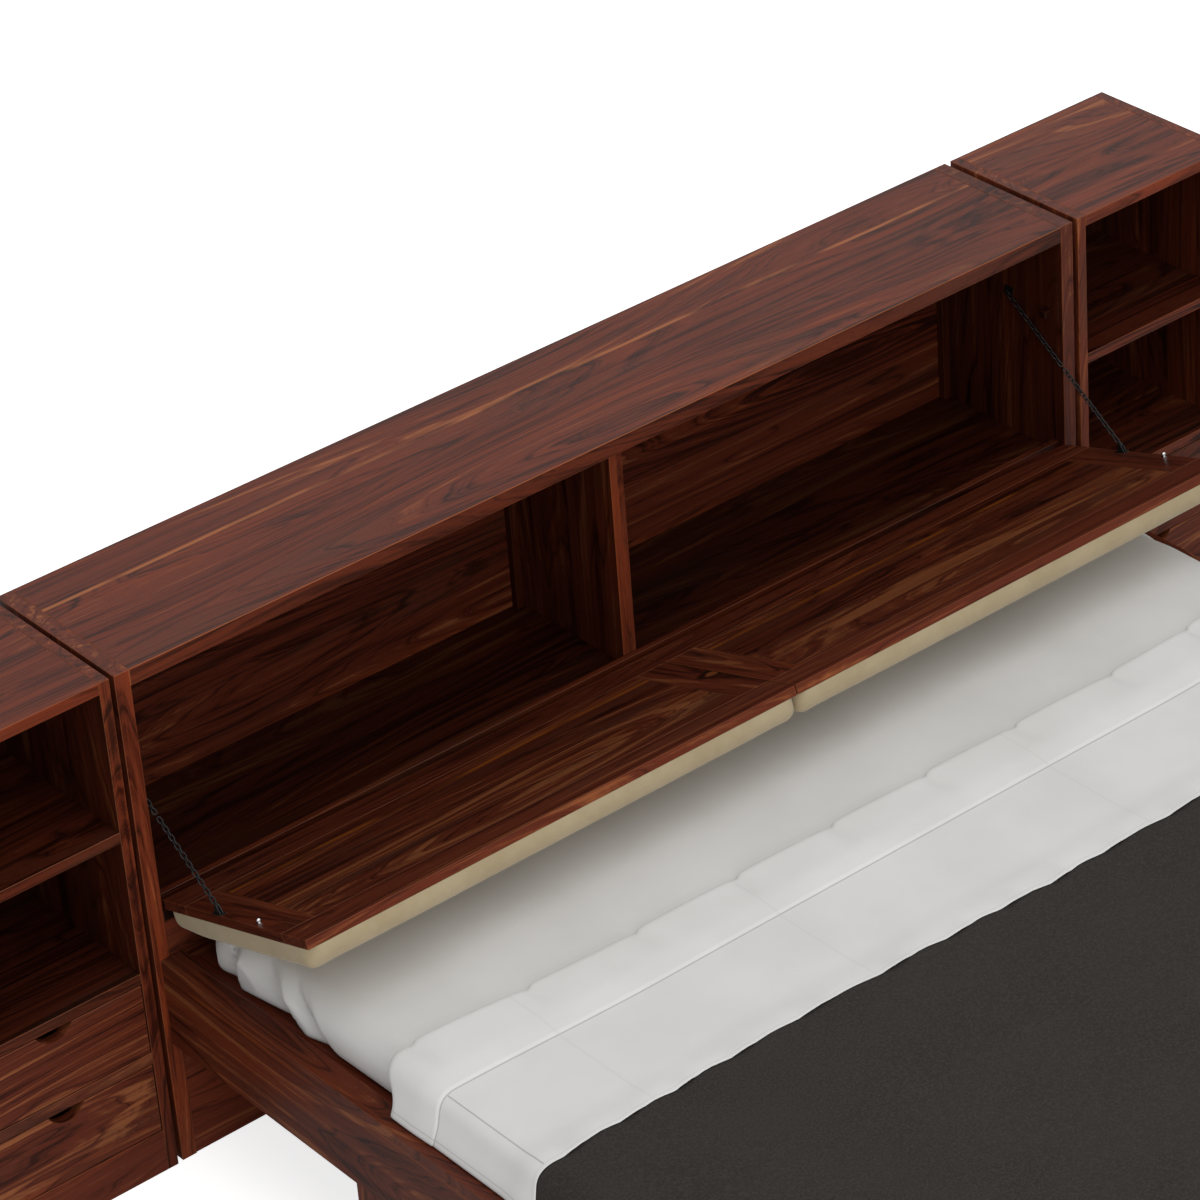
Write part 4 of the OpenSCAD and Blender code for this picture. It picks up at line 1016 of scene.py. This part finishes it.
class Draping:
    """How the top sheet and the blanket lie: over the mattress's edge, then sloping out to the
    hem on the rail. Half and foot are the ends of their flat cuts."""

    def __init__(self):
        self.plate = Plate(DRAPED_EDGE)
        self.plate.open_head = True
        top = self.plate.rim
        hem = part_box("side_rail_left")[1].z + HEM_GAP
        self.fallen, reach = fall(
            ((0, top), (0.018, top), (0.032, top - 0.004), (0.039, top - 0.020)),
            ((0.039, top - 0.020), (0.045, top - 0.034), (0.056, hem + 0.016), (0.061, hem)))
        self.half = self.plate.high.x + PLATE_CORNER + reach
        self.foot = self.plate.low.y - PLATE_CORNER - reach

    def place(self, flat, thickness):
        return lay(self.plate, self.fallen, flat, thickness)


def top_sheet(drape, finish):
    half, foot = drape.half, drape.foot
    shape = cloth_grid(stations(-half, half, 0.05, 0.008, (-half, half), 0.06),
                       stations(foot, SHEET_HEAD, 0.05, 0.008, (foot,), 0.06))
    for vert in shape.verts:
        vert.co = drape.place(vert.co.xy, CLOTH)
    sheet = new_piece("top_sheet_cloth", shape, finish, "bed")
    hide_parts("top_sheet")
    return sheet


def blanket(drape, finish):
    half, foot = drape.half, drape.foot
    near = (-half, half, -SHEET_CREASE, SHEET_CREASE)
    shape = cloth_grid(stations(-half, half, 0.03, 0.005, near, 0.03),
                       stations(foot, BLANKET_HEAD, 0.03, 0.006, (foot, BLANKET_HEAD), 0.05))
    for vert in shape.verts:
        flat = vert.co.xy
        slack = unevenness(flat.x * 6, flat.y * 6, 1, 0.0008)
        ripple = unevenness(flat.y * 9, 4, 2, 0.0022) * ease(abs(flat.x), 0.90, half)
        vert.co = drape.place(flat, BLANKET_LIFT + slack + max(0, ripple))
    cover = new_piece("blanket_cloth", shape, finish, "bed")
    thicken(cover, BLANKET)
    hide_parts("blanket")
    return cover


def sheet_cuff(drape):
    """The head of the top sheet, folded back over the blanket."""
    half = drape.half
    rows = cuff_rows()
    near = (-half, half, -SHEET_CREASE, SHEET_CREASE, *NICKS)
    shape = cloth_grid(stations(-half, half, 0.016, 0.003, near, 0.012), range(len(rows)))
    layer = shape.loops.layers.uv.new("flat")
    for face in shape.faces:
        for corner in face.loops:
            corner[layer].uv = (corner.vert.co.x, rows[round(corner.vert.co.y)])
    for vert in shape.verts:
        y, thickness = cuff_place(vert.co.x, rows[round(vert.co.y)], half)
        vert.co = drape.place(Vector((vert.co.x, y)), thickness)
    cuff = new_piece("sheet_cuff", shape, pressed_cotton(half), "bed")
    thicken(cuff, FOLDED_HEAD)
    edge, _, head = cuff_edges(0)
    return cuff


def bedding():
    drape = Draping()
    sheet = top_sheet(drape, cotton("white_cotton", 1.0))
    cover = blanket(drape, wool())
    cuff = sheet_cuff(drape)


# ---- Studio ----------------------------------------------

# How strong the sky is as light, and how bright the camera sees the floor's own glow
SKY = 0.50
FLOOR_GLOW = 0.75
CAMERA_PLACE = (-3.9679, -4.3003, 4.6640)
# Pan, tilt and roll, in degrees
CAMERA_TURNS = (("Z", -37.044), ("X", 57.999), ("Z", -4.547))
CAMERA_LENS = 145.30


def sky():
    """An even light that the camera and reflections see as white."""
    world = bpy.data.worlds.new("studio")
    bpy.context.scene.world = world
    world.use_nodes = True
    tree = world.node_tree
    tree.nodes.clear()
    rays = put(tree, "ShaderNodeLightPath").outputs
    seen = calc(tree, "MAXIMUM", rays["Is Camera Ray"], rays["Is Transmission Ray"])
    seen = calc(tree, "MAXIMUM", seen, rays["Is Glossy Ray"])
    strength = calc(tree, "MULTIPLY_ADD", seen, 1 - SKY, SKY)
    light = put(tree, "ShaderNodeBackground", [("Color", WHITE), ("Strength", strength)])
    put(tree, "ShaderNodeOutputWorld", [(0, light.outputs[0])])


def floor():
    shape = bmesh.new()
    bmesh.ops.create_grid(shape, x_segments=1, y_segments=1, size=30)
    mesh = bpy.data.meshes.new("floor")
    shape.to_mesh(mesh)
    shape.free()
    ground = add_object("floor", mesh)
    pale, tree, shader = material("pale_floor")
    rays = put(tree, "ShaderNodeLightPath").outputs
    glow = calc(tree, "MULTIPLY", rays["Is Camera Ray"], FLOOR_GLOW)
    wire(tree, shader, [("Base Color", (0.8, 0.8, 0.8, 1)), ("Roughness", 0.9),
                        ("Specular IOR Level", 0.0), ("Emission Color", WHITE),
                        ("Emission Strength", glow)])
    mesh.materials.append(pale)


def lamp(name, place, target, size, power):
    data = bpy.data.lights.new(name, "AREA")
    data.size = size
    data.energy = power
    made = add_object(name, data)
    made.location = place
    made.rotation_euler = (Vector(target) - Vector(place)).to_track_quat("-Z", "Y").to_euler()


def camera():
    data = bpy.data.cameras.new("camera")
    data.sensor_width = 36
    data.lens = CAMERA_LENS
    data.clip_end = 100
    made = add_object("camera", data)
    turn = Matrix.Identity(4)
    for axis, angle in CAMERA_TURNS:
        turn = turn @ Matrix.Rotation(math.radians(angle), 4, axis)
    made.matrix_world = Matrix.Translation(CAMERA_PLACE) @ turn
    bpy.context.scene.camera = made


camera()
bpy.context.scene.view_settings.view_transform = "Standard"
sky()
floor()
lamp("overhead", place=(-0.4, -1.6, 5.0), target=(0, 0.2, 0.4), size=5.0, power=98)
lamp("front", place=(-1.5, -5.0, 1.7), target=(0, 0.9, 0.5), size=3.0, power=80)
finish_boards()
finish_fittings()
pad_finish = suede()
for side in SIDES:
    finish_door(side)
    door_pad(side, pad_finish)
# The fitted sheet is the white cotton made a little darker, as painted shade.
mattress(cotton("shaded_fitted_cotton", 0.95))
bedding()
